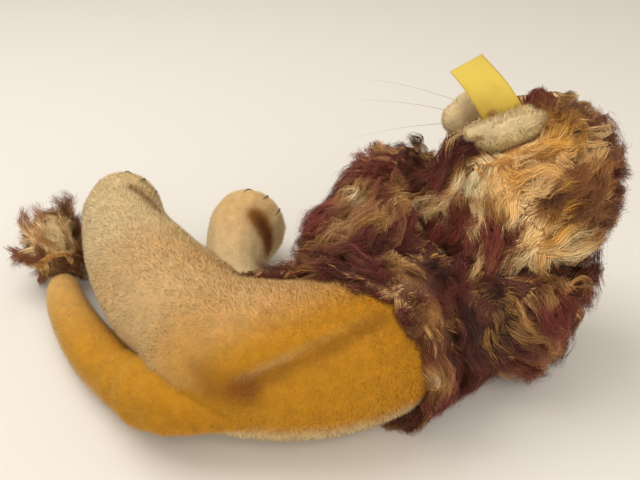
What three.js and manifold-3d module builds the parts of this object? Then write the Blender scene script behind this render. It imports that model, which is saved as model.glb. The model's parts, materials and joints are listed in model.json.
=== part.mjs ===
// A plush lion of short golden mohair, lying on its right hip with the hind legs out to one side.
// Millimetres, +Z up. The head end lies towards +X and the legs reach towards +Y.
// Every soft piece is a sewn cover round its own stuffing, and the head turns on a disc joint in the neck.
import * as THREE from "three";
import { mergeVertices } from "three/addons/utils/BufferGeometryUtils.js";
import Module from "manifold-3d";

const wasm = await Module();
wasm.setup();

const degrees = THREE.MathUtils.degToRad;

// Driving sizes of the whole animal
const torsoLength = 180;
const torsoThickness = 70;
const coverThickness = 2.6;
const seamGap = 0.3;
const stuffingGap = 2.2;
const restingFlat = 0.5;
const cutOverrun = 200;

// Legs and tail
const hindLegLength = 150;
const hindLegThickness = 60;
const lowerLegLength = 130;
const lowerLegThickness = 46;
const frontLegLength = 118;
const frontLegThickness = 33;
const upperFootLift = 10;
const tailLength = 128;
const tailThickness = 27;
const tuftLength = 50;
const tuftThickness = 48;
const clawLength = 11;
const threadDiameter = 1.2;

// Neck joint
const neckRadius = 20;
const neckRise = 29;
const neckLean = degrees(18);
const neckLeanHeading = degrees(20);
const neckClearance = 0.6;
const discRadius = 16.5;
const discThickness = 2.5;
const washerRadius = 6;
const washerThickness = 1;
const pinRadius = 1.4;
const pinCurlRadius = 2.4;
const pinCurlDiameter = 2.24;

// Head
const headHeading = degrees(125);
const faceLift = degrees(28);
const skullLength = 58;
const skullWidth = 58;
const skullHeight = 56;
const skullRise = 33;
const bridgeLength = 40;
const bridgeWidth = 25;
const muzzleLength = 26;
const muzzleWidth = 33;
const muzzleHeight = 20;
const chinLength = 18;
const noseWidth = 13;

// Ears, eyes and whiskers
const earWidth = 34;
const earHeight = 25;
const earDepth = 17;
const earPanelThickness = 3;
const earForward = 8;
const earOut = 35;
const earPlace = degrees(50);
const earLean = degrees(30);
const eyeDiameter = 10;
const eyeRise = 3.4;
const eyeSetIn = 1;
const eyeHeading = degrees(27);
const eyeClimb = degrees(24);
const eyeShankDiameter = 2;
const eyeShankLength = 7;
const whiskerDiameter = 0.6;
const whiskerLength = 46;
const whiskerSpread = degrees(50);
const whiskerDroop = degrees(14);
const whiskerFan = degrees(31);

// Ear label
const labelWidth = 17;
const labelLength = 34;
const labelThickness = 0.6;
const labelLean = degrees(34);
const labelSeat = 8;
const labelAside = 4;
const labelCurl = 12;

// Mane
const maneEdgeHeading = degrees(60);
const collarDepth = 7;
const headManeDepth = 14;
const ruffDepth = 19;

const shortPile = new THREE.MeshStandardMaterial({ color: "#c8913a", roughness: 0.95, metalness: 0 });
const palePile = new THREE.MeshStandardMaterial({ color: "#d9c08c", roughness: 0.95, metalness: 0 });
const manePile = new THREE.MeshStandardMaterial({ color: "#6e3a2c", roughness: 0.9, metalness: 0 });
const stuffing = new THREE.MeshStandardMaterial({ color: "#d8c9a4", roughness: 1, metalness: 0 });
const blackThread = new THREE.MeshStandardMaterial({ color: "#231c18", roughness: 0.7, metalness: 0 });
const noseThread = new THREE.MeshStandardMaterial({ color: "#8c3f2b", roughness: 0.7, metalness: 0 });
const clearThread = new THREE.MeshStandardMaterial({ color: "#d9cdb0", roughness: 0.4, metalness: 0 });
const amberGlass = new THREE.MeshStandardMaterial({ color: "#b06a17", roughness: 0.08, metalness: 0 });
const plainSteel = new THREE.MeshStandardMaterial({ color: "#b9bcc0", roughness: 0.35, metalness: 1 });
const hardboard = new THREE.MeshStandardMaterial({ color: "#7a5a3a", roughness: 0.85, metalness: 0 });
const labelCloth = new THREE.MeshStandardMaterial({ color: "#e3c93a", roughness: 0.8, metalness: 0 });

// Placements: each step of a chain is made in the frame of the one before it
const upward = new THREE.Vector3(0, 0, 1);
const shiftBy = (x, y, z) => new THREE.Matrix4().makeTranslation(x, y, z);
const turnX = (angle) => new THREE.Matrix4().makeRotationX(angle);
const turnY = (angle) => new THREE.Matrix4().makeRotationY(angle);
const turnZ = (angle) => new THREE.Matrix4().makeRotationZ(angle);

function chain(first, ...steps) {
  return steps.reduce((frame, step) => frame.multiply(step), first.clone());
}

// A frame at a place, with one of its axes turned to a direction
function frameAt(place, axis, direction) {
  const turn = new THREE.Quaternion().setFromUnitVectors(axis, direction);
  return new THREE.Matrix4().compose(place, turn, new THREE.Vector3(1, 1, 1));
}

// Solids and meshes
function solidOf(geometry) {
  const bare = geometry.clone();
  bare.deleteAttribute("normal");
  bare.deleteAttribute("uv");
  const merged = mergeVertices(bare);
  return new wasm.Manifold(
    new wasm.Mesh({
      numProp: 3,
      vertProperties: new Float32Array(merged.attributes.position.array),
      triVerts: new Uint32Array(merged.index.array),
    }),
  );
}

// A cut can leave loose crumbs behind, which the piece goes without
function largest(solid) {
  return solid.decompose().reduce((best, piece) => (piece.volume() > best.volume() ? piece : best));
}

function meshOf(name, solid, material) {
  const cut = largest(solid).getMesh();
  const geometry = new THREE.BufferGeometry();
  geometry.setAttribute("position", new THREE.BufferAttribute(cut.vertProperties, cut.numProp));
  geometry.setIndex(new THREE.BufferAttribute(cut.triVerts, 1));
  geometry.computeVertexNormals();
  const mesh = new THREE.Mesh(geometry, material);
  mesh.name = name;
  return mesh;
}

function moved(solid, matrix) {
  return solid.transform(matrix.toArray());
}

function cutBy(solid, cutters) {
  return cutters.reduce((left, cutter) => left.subtract(cutter), solid);
}

function joined(solids) {
  return solids.reduce((whole, solid) => whole.add(solid));
}

function ellipsoid(centre, halfSizes, segments = 20) {
  const ball = new THREE.SphereGeometry(1, segments, Math.round(segments / 2));
  ball.scale(...halfSizes);
  ball.translate(...centre);
  return solidOf(ball);
}

// A rod between two heights on the Z axis
function rod(radius, low, high, segments = 20) {
  const bar = new THREE.CylinderGeometry(radius, radius, high - low, segments);
  bar.rotateX(Math.PI / 2);
  bar.translate(0, 0, (low + high) / 2);
  return solidOf(bar);
}

function ring(outerRadius, innerRadius, low, high) {
  const hole = rod(innerRadius, low - coverThickness, high + coverThickness, 12);
  return rod(outerRadius, low, high).subtract(hole);
}

// A round thread that follows the points
function thread(points, diameter, steps, sides = 6) {
  const section = new THREE.Shape();
  for (let side = 0; side < sides; side += 1) {
    const turn = (side / sides) * 2 * Math.PI;
    const corner = [(Math.cos(turn) * diameter) / 2, (Math.sin(turn) * diameter) / 2];
    if (side === 0) section.moveTo(...corner);
    else section.lineTo(...corner);
  }
  const path = new THREE.CatmullRomCurve3(points);
  return solidOf(new THREE.ExtrudeGeometry(section, { steps, extrudePath: path, bevelEnabled: false }));
}

// The part of an end that is rounded off, from 0 at the tip to 1 where the form has its full girth
function roundEnd(share) {
  return share >= 1 ? 1 : Math.sqrt(1 - (1 - share) ** 2);
}

// A stuffed form swept along its stations, each a place with a half width and a half height
const slopeStepShare = 0.004;
class StuffedForm {
  constructor({ places, halfWidths, halfHeights, rings, sides, startCap, endCap }) {
    const girths = halfWidths.map((half, i) => new THREE.Vector2(half, halfHeights[i]));
    this.girths = new THREE.SplineCurve(girths);
    this.path = new THREE.CatmullRomCurve3(places);
    this.length = this.path.getLength();
    this.rings = rings;
    this.sides = sides;
    this.startCap = startCap;
    this.endCap = endCap;
  }

  // Centre, axes and half sizes at a share of the length
  stationAt(share) {
    const t = this.path.getUtoTmapping(share);
    const along = this.path.getTangent(t);
    const aside = new THREE.Vector3().crossVectors(along, upward).normalize();
    const over = new THREE.Vector3().crossVectors(aside, along);
    const run = share * this.length;
    const cap = Math.min(roundEnd(run / this.startCap), roundEnd((this.length - run) / this.endCap));
    const girth = this.girths.getPoint(t);
    const centre = this.path.getPoint(t);
    return { centre, along, aside, over, halfWidth: girth.x * cap, halfHeight: girth.y * cap };
  }

  // The point of the skin at a share of the length and a turn about it, with the girth grown by a distance
  skinPoint(share, turn, grow = 0) {
    const at = this.stationAt(share);
    return at.centre
      .clone()
      .addScaledVector(at.aside, Math.cos(turn) * (at.halfWidth + grow))
      .addScaledVector(at.over, Math.sin(turn) * (at.halfHeight + grow));
  }

  // The same point lifted square off the skin
  pointOff(share, turn, off) {
    const here = this.skinPoint(share, turn);
    const ahead = this.skinPoint(share + slopeStepShare, turn);
    const behind = this.skinPoint(share - slopeStepShare, turn);
    const above = this.skinPoint(share, turn + slopeStepShare);
    const below = this.skinPoint(share, turn - slopeStepShare);
    return here.addScaledVector(ahead.sub(behind).cross(above.sub(below)).normalize(), off);
  }

  // The form as a solid, grown by a distance or shrunk by a negative one
  solid(grow = 0, detailShare = 1) {
    const rings = Math.round(this.rings * detailShare);
    const sides = Math.round(this.sides * detailShare);
    const places = [];
    for (let i = 1; i < rings; i += 1) {
      const even = i / rings;
      const share = (even + (1 - Math.cos(Math.PI * even)) / 2) / 2;
      for (let side = 0; side < sides; side += 1) {
        places.push(this.skinPoint(share, (side / sides) * 2 * Math.PI, grow));
      }
    }
    const first = this.stationAt(0);
    const last = this.stationAt(1);
    const startTip = places.push(first.centre.addScaledVector(first.along, -grow)) - 1;
    const endTip = places.push(last.centre.addScaledVector(last.along, grow)) - 1;
    const faces = [];
    for (let side = 0; side < sides; side += 1) {
      const next = (side + 1) % sides;
      faces.push(startTip, side, next);
      for (let i = 0; i < rings - 2; i += 1) {
        const low = i * sides;
        const high = low + sides;
        faces.push(low + side, high + next, low + next, low + side, high + side, high + next);
      }
      const rim = (rings - 2) * sides;
      faces.push(rim + side, endTip, rim + next);
    }
    const geometry = new THREE.BufferGeometry().setFromPoints(places);
    geometry.setIndex(faces);
    return solidOf(geometry);
  }
}

// A form that comes down from its root's height until it lies on the floor, or a distance above it.
// Its stations are in shares of its length from the root, and its girths in shares of its thickness.
function limbForm({
  root,
  length,
  thickness,
  lift = 0,
  planShares,
  downShares,
  girthShares,
  rings,
  sides,
  capShares,
}) {
  const half = thickness / 2;
  const halfHeights = girthShares.map(([, high]) => high * half);
  const places = planShares.map(([forward, aside], i) => {
    const lying = halfHeights[i] - restingFlat + lift;
    const height = THREE.MathUtils.lerp(root.z, lying, downShares[i]);
    return new THREE.Vector3(root.x + forward * length, root.y + aside * length, height);
  });
  return new StuffedForm({
    places,
    halfWidths: girthShares.map(([wide]) => wide * half),
    halfHeights,
    rings,
    sides,
    startCap: capShares[0] * half,
    endCap: capShares[1] * half,
  });
}

const belowFloor = solidOf(
  new THREE.BoxGeometry(cutOverrun * 4, cutOverrun * 4, cutOverrun).translate(0, 0, -cutOverrun / 2),
);
const belowFilling = belowFloor.translate(0, 0, coverThickness);

// Torso
const torsoPlanShares = [
  [-0.36, 0.1],
  [-0.19, 0.03],
  [0, 0],
  [0.16, 0.05],
  [0.29, 0.17],
  [0.4, 0.25],
  [0.51, 0.34],
  [0.58, 0.46],
];
const torso = limbForm({
  root: new THREE.Vector3(),
  length: torsoLength,
  thickness: torsoThickness,
  planShares: torsoPlanShares,
  downShares: torsoPlanShares.map(() => 1),
  girthShares: [
    [0.78, 0.76],
    [0.95, 0.95],
    [0.98, 0.97],
    [0.98, 1],
    [0.87, 0.9],
    [0.8, 0.84],
    [0.77, 0.84],
    [0.71, 0.78],
  ],
  rings: 20,
  sides: 20,
  capShares: [0.9, 0.8],
});
const torsoLiningDetailShare = 0.75;
const torsoFillingDetailShare = 0.6;

// A place in the torso: shares of its thickness ahead of a station, out to its left, and above the floor
function placeInTorso(share, forwardShare, leftShare, heightShare) {
  const at = torso.stationAt(share);
  return at.centre
    .clone()
    .addScaledVector(at.along, forwardShare * torsoThickness)
    .addScaledVector(at.aside, -leftShare * torsoThickness)
    .setZ(heightShare * torsoThickness);
}

// The neck's flat face stands above the torso's axis, square to the axis that the head turns on
const neckRootShare = 0.83;
const neckAxis = new THREE.Vector3(
  Math.sin(neckLean) * Math.cos(neckLeanHeading),
  Math.sin(neckLean) * Math.sin(neckLeanHeading),
  Math.cos(neckLean),
);
const neckSeam = torso.stationAt(neckRootShare).centre.addScaledVector(neckAxis, neckRise);
const neckFrame = frameAt(neckSeam, upward, neckAxis);
const headFrame = chain(neckFrame, turnZ(headHeading));
const overSeam = (lift) => moved(rod(cutOverrun, lift, cutOverrun, 24), neckFrame);
const neckStub = (grow, top) => moved(rod(neckRadius + grow, -neckRise, top, 20), neckFrame);

// The room that the turning head and its mane sweep above the neck's face
const headManeRadius = skullWidth / 2 + headManeDepth;
const ruffRadius = skullWidth / 2 + ruffDepth;
const ruffHeight = skullHeight / 2 + ruffDepth * 0.8;
const sweepRadius = Math.max(ruffRadius, skullLength / 2 + muzzleLength) + neckClearance;
const sweepHalf = [sweepRadius, sweepRadius, ruffHeight + neckClearance];
const headSweep = joined([
  moved(ellipsoid([0, 0, skullRise], sweepHalf, 24), neckFrame).intersect(overSeam(0)),
  moved(rod(neckRadius + neckClearance, 0, skullRise, 24), neckFrame),
]);
const underHead = moved(rod(skullWidth / 2 + collarDepth, -collarDepth, skullRise, 20), neckFrame);
const coverUnderNeck = moved(rod(skullWidth / 2, -coverThickness, cutOverrun, 24), neckFrame);

// The neck's disc joint: heights in the neck's frame, from the seam outwards on each side
const bodyDiscTop = -coverThickness - seamGap;
const bodyDiscBottom = bodyDiscTop - discThickness;
const bodyWasherTop = bodyDiscBottom - seamGap;
const bodyWasherBottom = bodyWasherTop - washerThickness;
const headDiscBottom = neckClearance + coverThickness + seamGap;
const headDiscTop = headDiscBottom + discThickness;
const headWasherBottom = headDiscTop + seamGap;
const headWasherTop = headWasherBottom + washerThickness;
const pinHoleRadius = pinRadius + seamGap;
const pinBendRadius = pinCurlRadius + pinRadius;
const pinEyeMiddle = bodyWasherBottom - seamGap - pinBendRadius;
const pinEnd = pinEyeMiddle - pinBendRadius;
const pinRest = headWasherTop + seamGap + pinRadius;
const curlTop = headWasherTop + seamGap + 2 * pinBendRadius;
const curlReach = 2 * pinBendRadius + pinRadius;
const pinRoomRadius = Math.max(washerRadius, curlReach) + seamGap;
const pinHole = moved(rod(pinHoleRadius, -neckRise, neckRise, 12), neckFrame);
const bodyJointRoom = joined([
  rod(discRadius + seamGap, bodyDiscBottom - seamGap, 0, 24),
  rod(pinRoomRadius, pinEnd - seamGap, 0, 16),
]);
const headJointRoom = joined([
  rod(discRadius + seamGap, 0, headDiscTop + seamGap, 24),
  rod(pinRoomRadius, 0, curlTop + seamGap, 16),
]);

const torsoInside = torso
  .solid(-coverThickness, torsoLiningDetailShare)
  .add(neckStub(-coverThickness, 0))
  .subtract(coverUnderNeck);
const torsoSkin = torso.solid().add(neckStub(0, 0));
const torsoCover = cutBy(torsoSkin, [headSweep, torsoInside, pinHole, belowFloor]);
const torsoStuffing = cutBy(torso.solid(-coverThickness - stuffingGap, torsoFillingDetailShare), [
  moved(bodyJointRoom, neckFrame),
  overSeam(bodyDiscTop),
  belowFilling,
]);

// Legs and tail: every cover is open at its seam on the torso, where its stuffing goes in
const upperHindLeg = limbForm({
  root: placeInTorso(0.2, 0.1, -0.05, 0.58),
  length: hindLegLength,
  thickness: hindLegThickness,
  lift: upperFootLift,
  planShares: [
    [0, 0],
    [-0.2, 0.2],
    [-0.37, 0.46],
    [-0.48, 0.7],
    [-0.54, 0.9],
    [-0.51, 1.06],
  ],
  downShares: [0, 0.3, 0.6, 0.85, 1, 1],
  girthShares: [
    [0.86, 0.8],
    [1.02, 0.92],
    [0.92, 0.86],
    [0.81, 0.76],
    [0.76, 0.78],
    [0.74, 0.76],
  ],
  rings: 14,
  sides: 16,
  capShares: [0.8, 0.7],
});

const lowerHindLeg = limbForm({
  root: placeInTorso(0.22, 0.05, 0.1, 0.26),
  length: lowerLegLength,
  thickness: lowerLegThickness,
  planShares: [
    [0, 0],
    [-0.06, 0.35],
    [-0.14, 0.62],
    [-0.14, 0.82],
    [-0.1, 1],
    [-0.05, 1.12],
  ],
  downShares: [0, 0.6, 1, 1, 1, 1],
  girthShares: [
    [0.7, 0.7],
    [0.74, 0.7],
    [0.66, 0.66],
    [0.82, 0.86],
    [1.04, 1],
    [0.92, 0.92],
  ],
  rings: 14,
  sides: 14,
  capShares: [0.8, 0.85],
});

function frontLeg(rootShare, leftShare, planShares) {
  return limbForm({
    root: placeInTorso(rootShare, 0, leftShare, 0.3),
    length: frontLegLength,
    thickness: frontLegThickness,
    planShares,
    downShares: [0, 0.7, 1, 1, 1],
    girthShares: [
      [1.1, 1.1],
      [0.95, 0.95],
      [0.82, 0.82],
      [0.96, 0.9],
      [1, 0.94],
    ],
    rings: 12,
    sides: 12,
    capShares: [0.8, 0.9],
  });
}
const frontLegs = {
  front_leg_left: frontLeg(0.8, 0.12, [
    [0, 0],
    [-0.05, 0.3],
    [-0.07, 0.58],
    [-0.06, 0.82],
    [-0.04, 1],
  ]),
  front_leg_right: frontLeg(0.86, -0.2, [
    [0, 0],
    [0.06, 0.3],
    [0.13, 0.58],
    [0.18, 0.82],
    [0.22, 1],
  ]),
};

const tailRootShare = 0.07;
const tailRoot = torso.stationAt(tailRootShare).centre.clone();
tailRoot.y -= tailThickness / 2;
tailRoot.z = tailThickness / 2;
const tail = limbForm({
  root: tailRoot,
  length: tailLength,
  thickness: tailThickness,
  planShares: [
    [0, 0],
    [-0.12, 0.04],
    [-0.29, 0.19],
    [-0.44, 0.4],
    [-0.56, 0.62],
    [-0.62, 0.8],
  ],
  downShares: [0, 1, 1, 1, 1, 1],
  girthShares: [
    [0.9, 0.9],
    [1.08, 1.06],
    [1.02, 1],
    [0.9, 0.9],
    [0.78, 0.78],
    [0.66, 0.66],
  ],
  rings: 14,
  sides: 12,
  capShares: [1, 0.9],
});

const lion = new THREE.Group();
const body = new THREE.Group();
const head = new THREE.Group();
lion.add(body, head);
body.add(meshOf("torso_cover", torsoCover, shortPile));
body.add(meshOf("torso_stuffing", torsoStuffing, stuffing));

// Adds a limb's cover and stuffing, cut by what it is sewn to, and returns what later pieces are cut by
const limbLiningDetailShare = 0.8;
const limbFillingDetailShare = 0.65;
function addLimb(name, form, barriers, material) {
  const lining = form.solid(-coverThickness, limbLiningDetailShare);
  const filling = form.solid(-coverThickness - stuffingGap, limbFillingDetailShare);
  const cover = cutBy(form.solid(), [...barriers, belowFloor, lining]);
  body.add(meshOf(`${name}_cover`, cover, material));
  body.add(meshOf(`${name}_stuffing`, cutBy(filling, [...barriers, belowFilling]), stuffing));
  return form.solid(seamGap);
}

const torsoBarrier = torso.solid(seamGap).add(neckStub(seamGap, 0));
const upperLegBarrier = addLimb("hind_leg_left", upperHindLeg, [torsoBarrier], shortPile);
const lowerLegBarrier = addLimb("hind_leg_right", lowerHindLeg, [torsoBarrier, upperLegBarrier], palePile);
const tailBarrier = addLimb("tail", tail, [torsoBarrier, upperLegBarrier], shortPile);
const frontBarriers = [];
for (const [name, form] of Object.entries(frontLegs)) {
  frontBarriers.push(addLimb(name, form, [torsoBarrier, headSweep, ...frontBarriers], palePile));
}

// Claws: bent stitches over the front of each paw
const clawEndShare = 0.985;
const clawTurnShares = [0.16, 0.38, 0.62, 0.84];
const clawSteps = 4;
function addClaws(name, form) {
  const off = threadDiameter / 2 + seamGap;
  const startShare = 1 - clawLength / form.length;
  clawTurnShares.forEach((turnShare, i) => {
    const bend = Array.from({ length: clawSteps }, (_, step) => {
      const share = THREE.MathUtils.lerp(startShare, clawEndShare, step / (clawSteps - 1));
      return form.pointOff(share, turnShare * Math.PI, off);
    });
    body.add(meshOf(`${name}_claw_${i + 1}`, thread(bend, threadDiameter, clawSteps, 5), blackThread));
  });
}
addClaws("hind_leg_left", upperHindLeg);
addClaws("hind_leg_right", lowerHindLeg);
Object.entries(frontLegs).forEach(([name, form]) => addClaws(name, form));

// Tail tuft
const tuftForwardShare = 0.22;
const tailTip = tail.stationAt(1);
const tuftMiddle = tailTip.centre.clone().addScaledVector(tailTip.along, tuftLength * tuftForwardShare);
tuftMiddle.z = tuftThickness / 2 - restingFlat;
const tuftFrame = frameAt(tuftMiddle, new THREE.Vector3(1, 0, 0), tailTip.along);
const tuftBall = ellipsoid([0, 0, 0], [tuftLength / 2, tuftThickness / 2, tuftThickness / 2]);
const tuft = cutBy(moved(tuftBall, tuftFrame), [tailBarrier, upperLegBarrier, belowFloor]);
body.add(meshOf("tail_tuft", tuft, manePile));

// Shoulder mane: lobes round the chest and over the left shoulder, in shares of the torso's thickness
const maneLobeShares = {
  chest: { forward: 0.08, left: -0.12, high: 0.56, half: [0.62, 0.64, 0.68] },
  shoulder: { forward: -0.14, left: 0.54, high: 0.9, half: [0.6, 0.54, 0.52] },
  side: { forward: -0.5, left: 0.6, high: 0.78, half: [0.48, 0.44, 0.4] },
};
function maneLobe({ forward, left, high, half }) {
  const place = placeInTorso(neckRootShare, forward, left, high);
  const along = torso.stationAt(neckRootShare).along;
  const halfSizes = half.map((share) => share * torsoThickness);
  return moved(ellipsoid([0, 0, 0], halfSizes, 16), frameAt(place, new THREE.Vector3(1, 0, 0), along));
}

// The mane's collar follows the torso's skin, from an edge that crosses the back aslant
const maneEdgeShare = 0.44;
const edgePlace = torso.stationAt(maneEdgeShare).centre.clone().setZ(0);
const aheadOfEdge = new THREE.BoxGeometry(cutOverrun, cutOverrun * 2, cutOverrun * 2);
aheadOfEdge.translate(cutOverrun / 2, 0, 0);
aheadOfEdge.rotateZ(maneEdgeHeading);
aheadOfEdge.translate(...edgePlace.toArray());
const collar = torso.solid(collarDepth).intersect(solidOf(aheadOfEdge));
const shoulderMane = cutBy(joined([collar, ...Object.values(maneLobeShares).map(maneLobe)]), [
  torsoBarrier,
  headSweep,
  underHead,
  belowFloor,
  ...frontBarriers,
  upperLegBarrier,
  lowerLegBarrier,
]);
body.add(meshOf("mane_shoulders", shoulderMane, manePile));

// The neck's split pin: an eye under the body's washer, and two ends curled down on the head's washer
const pinCurlTurnShares = [0, 0.25, 0.5, 0.75, 1];
const pinCurlTurn = degrees(198);
const pinEye = new THREE.TorusGeometry(pinCurlRadius, pinRadius, 6, 12);
pinEye.rotateX(Math.PI / 2);
pinEye.translate(0, 0, pinEyeMiddle);
function pinCurl(side) {
  const start = new THREE.Vector3(0, 0, pinRest - washerThickness - pinRadius);
  const bends = pinCurlTurnShares.map((share) => {
    const turn = share * pinCurlTurn;
    const out = side * pinBendRadius * (1 - Math.cos(turn));
    return new THREE.Vector3(out, 0, pinRest + pinCurlRadius * (1 + Math.sin(turn)));
  });
  return thread([start, ...bends], pinCurlDiameter, 8, 6);
}
const pinShaft = rod(pinRadius, pinEyeMiddle + pinCurlRadius, pinRest, 12);
const pin = joined([pinShaft, solidOf(pinEye), pinCurl(1), pinCurl(-1)]);
const bodyDisc = ring(discRadius, pinHoleRadius, bodyDiscBottom, bodyDiscTop);
const bodyWasher = ring(washerRadius, pinHoleRadius, bodyWasherBottom, bodyWasherTop);
body.add(meshOf("neck_disc_body", moved(bodyDisc, neckFrame), hardboard));
body.add(meshOf("neck_washer_body", moved(bodyWasher, neckFrame), plainSteel));
body.add(meshOf("neck_pin", moved(pin, neckFrame), plainSteel));

// Head: the face's own frame stands at the middle of the skull, +X the way the face looks and +Y its left
const faceFrame = chain(headFrame, shiftBy(0, 0, skullRise), turnY(-faceLift));
const faceSides = { left: 1, right: -1 };
const muzzleMiddle = skullLength / 2 + muzzleLength * 0.24;
const bridgeMiddle = skullLength / 2 - bridgeLength * 0.14;
const chinMiddle = muzzleMiddle - chinLength * 0.2;
const skullHalf = [skullLength / 2, skullWidth / 2, skullHeight / 2];
const bridgeHalf = [bridgeLength / 2, bridgeWidth / 2, bridgeWidth * 0.46];
const padHalf = [muzzleLength / 2, muzzleWidth * 0.29, muzzleHeight / 2];
const chinHalf = [chinLength * 0.6, muzzleWidth * 0.26, muzzleHeight * 0.34];

function headForm(grow = 0, segments = 18) {
  const featureSegments = Math.round(segments * 0.7);
  const blob = (centre, half, count = featureSegments) => {
    const grown = half.map((size) => size + grow);
    return moved(ellipsoid(centre, grown, count), faceFrame);
  };
  const pads = Object.values(faceSides).map((side) =>
    blob([muzzleMiddle, side * muzzleWidth * 0.22, -muzzleHeight * 0.14], padHalf),
  );
  return joined([
    blob([0, 0, 0], skullHalf, segments),
    blob([bridgeMiddle, 0, bridgeWidth * 0.16], bridgeHalf),
    ...pads,
    blob([chinMiddle, 0, -muzzleHeight * 0.6], chinHalf),
    moved(rod(neckRadius + grow, 0, skullRise, 20), headFrame),
  ]);
}
const headBarrier = headForm(seamGap);

// Eyes: domed glass with a wire hairpin behind, sewn into the cover
const eyeSteps = 5;
function eyeFrame(side) {
  return chain(faceFrame, turnZ(side * eyeHeading), turnY(-eyeClimb), shiftBy(skullLength / 2, 0, 0));
}
function eyeDome(grow) {
  const radius = eyeDiameter / 2 + grow;
  const rise = eyeRise + grow;
  const outline = [new THREE.Vector2(0, -grow), new THREE.Vector2(radius, -grow)];
  for (let step = 0; step <= eyeSteps; step += 1) {
    const turn = (step / eyeSteps) * (Math.PI / 2);
    outline.push(new THREE.Vector2(radius * Math.cos(turn), rise * Math.sin(turn)));
  }
  outline.push(outline[0].clone());
  const dome = new THREE.LatheGeometry(outline, 16);
  dome.rotateZ(-Math.PI / 2);
  return solidOf(dome).translate(-eyeSetIn, 0, 0);
}
function eyeHairpin(grow) {
  const side = eyeShankDiameter / 2;
  const back = -eyeSetIn - seamGap;
  const bend = [
    [back, side],
    [back - eyeShankLength, side],
    [back - eyeShankLength - side, 0],
    [back - eyeShankLength, -side],
    [back, -side],
  ].map(([x, y]) => new THREE.Vector3(x, y, 0));
  return thread(bend, threadDiameter + 2 * grow, 10, 5);
}

// Ears: a bowl of two layers, open to the front, leaning out from the top of the head
function earFrame(side) {
  const out = side * earOut * Math.sin(earPlace);
  return chain(faceFrame, shiftBy(earForward, out, earOut * Math.cos(earPlace)), turnX(-side * earLean));
}
function earShape(grow) {
  return ellipsoid([0, 0, 0], [earDepth / 2 + grow, earWidth / 2 + grow, earHeight / 2 + grow], 14);
}
function earBowl(shrink, thickness) {
  const front = moved(rod(cutOverrun, 0, cutOverrun, 12), turnY(Math.PI / 2));
  return cutBy(earShape(-shrink), [earShape(-shrink - thickness), front]);
}

// Nose and mouth: thread worked into the muzzle, as a shallow layer that follows its skin
function facePatch(shape) {
  const through = { depth: skullLength, bevelEnabled: false, curveSegments: 6 };
  const bar = new THREE.ExtrudeGeometry(shape, through);
  bar.rotateZ(Math.PI / 2);
  bar.rotateY(Math.PI / 2);
  const layer = headForm(seamGap + threadDiameter).subtract(headBarrier);
  return moved(solidOf(bar), faceFrame).intersect(layer);
}
const noseTop = muzzleHeight * 0.42;
const noseTip = -muzzleHeight * 0.02;
const noseShape = new THREE.Shape();
noseShape.moveTo(0, noseTip);
noseShape.quadraticCurveTo(-noseWidth * 0.5, noseTop * 0.5, -noseWidth / 2, noseTop * 0.8);
noseShape.quadraticCurveTo(0, noseTop * 1.16, noseWidth / 2, noseTop * 0.8);
noseShape.quadraticCurveTo(noseWidth * 0.5, noseTop * 0.5, 0, noseTip);

// The mouth is a short line down from the nose that parts into two curves
const mouthLine = threadDiameter / 2;
const mouthTop = noseTip - seamGap;
const mouthFork = -muzzleHeight * 0.42;
const mouthDip = mouthFork * 1.5;
const mouthCorner = mouthFork * 0.9;
const mouthReach = muzzleWidth * 0.31;
const mouthDipOut = muzzleWidth * 0.186;
const lowerDip = mouthDip - threadDiameter * 1.6;
const lowerCorner = mouthCorner - threadDiameter;
const mouthShape = new THREE.Shape();
mouthShape.moveTo(-mouthLine, mouthTop);
mouthShape.lineTo(-mouthLine, mouthFork);
mouthShape.quadraticCurveTo(-mouthDipOut, mouthDip, -mouthReach, mouthCorner);
mouthShape.lineTo(-mouthReach - mouthLine, lowerCorner);
mouthShape.quadraticCurveTo(-mouthDipOut, lowerDip, 0, mouthFork - threadDiameter);
mouthShape.quadraticCurveTo(mouthDipOut, lowerDip, mouthReach + mouthLine, lowerCorner);
mouthShape.lineTo(mouthReach, mouthCorner);
mouthShape.quadraticCurveTo(mouthDipOut, mouthDip, mouthLine, mouthFork);
mouthShape.lineTo(mouthLine, mouthTop);

// Whiskers: stiff threads that come out of the muzzle's sides in three rows, each with a slight sag.
// A row's first share is its height on the muzzle, and its second how far down the fan it points.
const whiskerRowShares = { upper: [0.12, 0], middle: [-0.14, 0.3], lower: [-0.4, 1] };
const whiskerBendShares = [0, 0.35, 0.7, 1];
const whiskerSagShare = 0.1;
const whiskerRoot = muzzleMiddle + padHalf[0] * 0.3;
function whisker(side, [heightShare, fanShare], grow = 0) {
  const root = new THREE.Vector3(whiskerRoot, side * muzzleWidth * 0.3, heightShare * muzzleHeight);
  const droop = whiskerDroop + fanShare * whiskerFan;
  const out = new THREE.Vector3(1, 0, 0)
    .applyAxisAngle(new THREE.Vector3(0, 1, 0), droop)
    .applyAxisAngle(upward, side * whiskerSpread);
  const sag = new THREE.Vector3(0, side, -1).multiplyScalar(whiskerLength * whiskerSagShare);
  const bend = whiskerBendShares.map((share) =>
    root
      .clone()
      .addScaledVector(out, share * whiskerLength)
      .addScaledVector(sag, share ** 2),
  );
  return moved(thread(bend, whiskerDiameter + 2 * grow, 6, 4), faceFrame);
}

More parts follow.
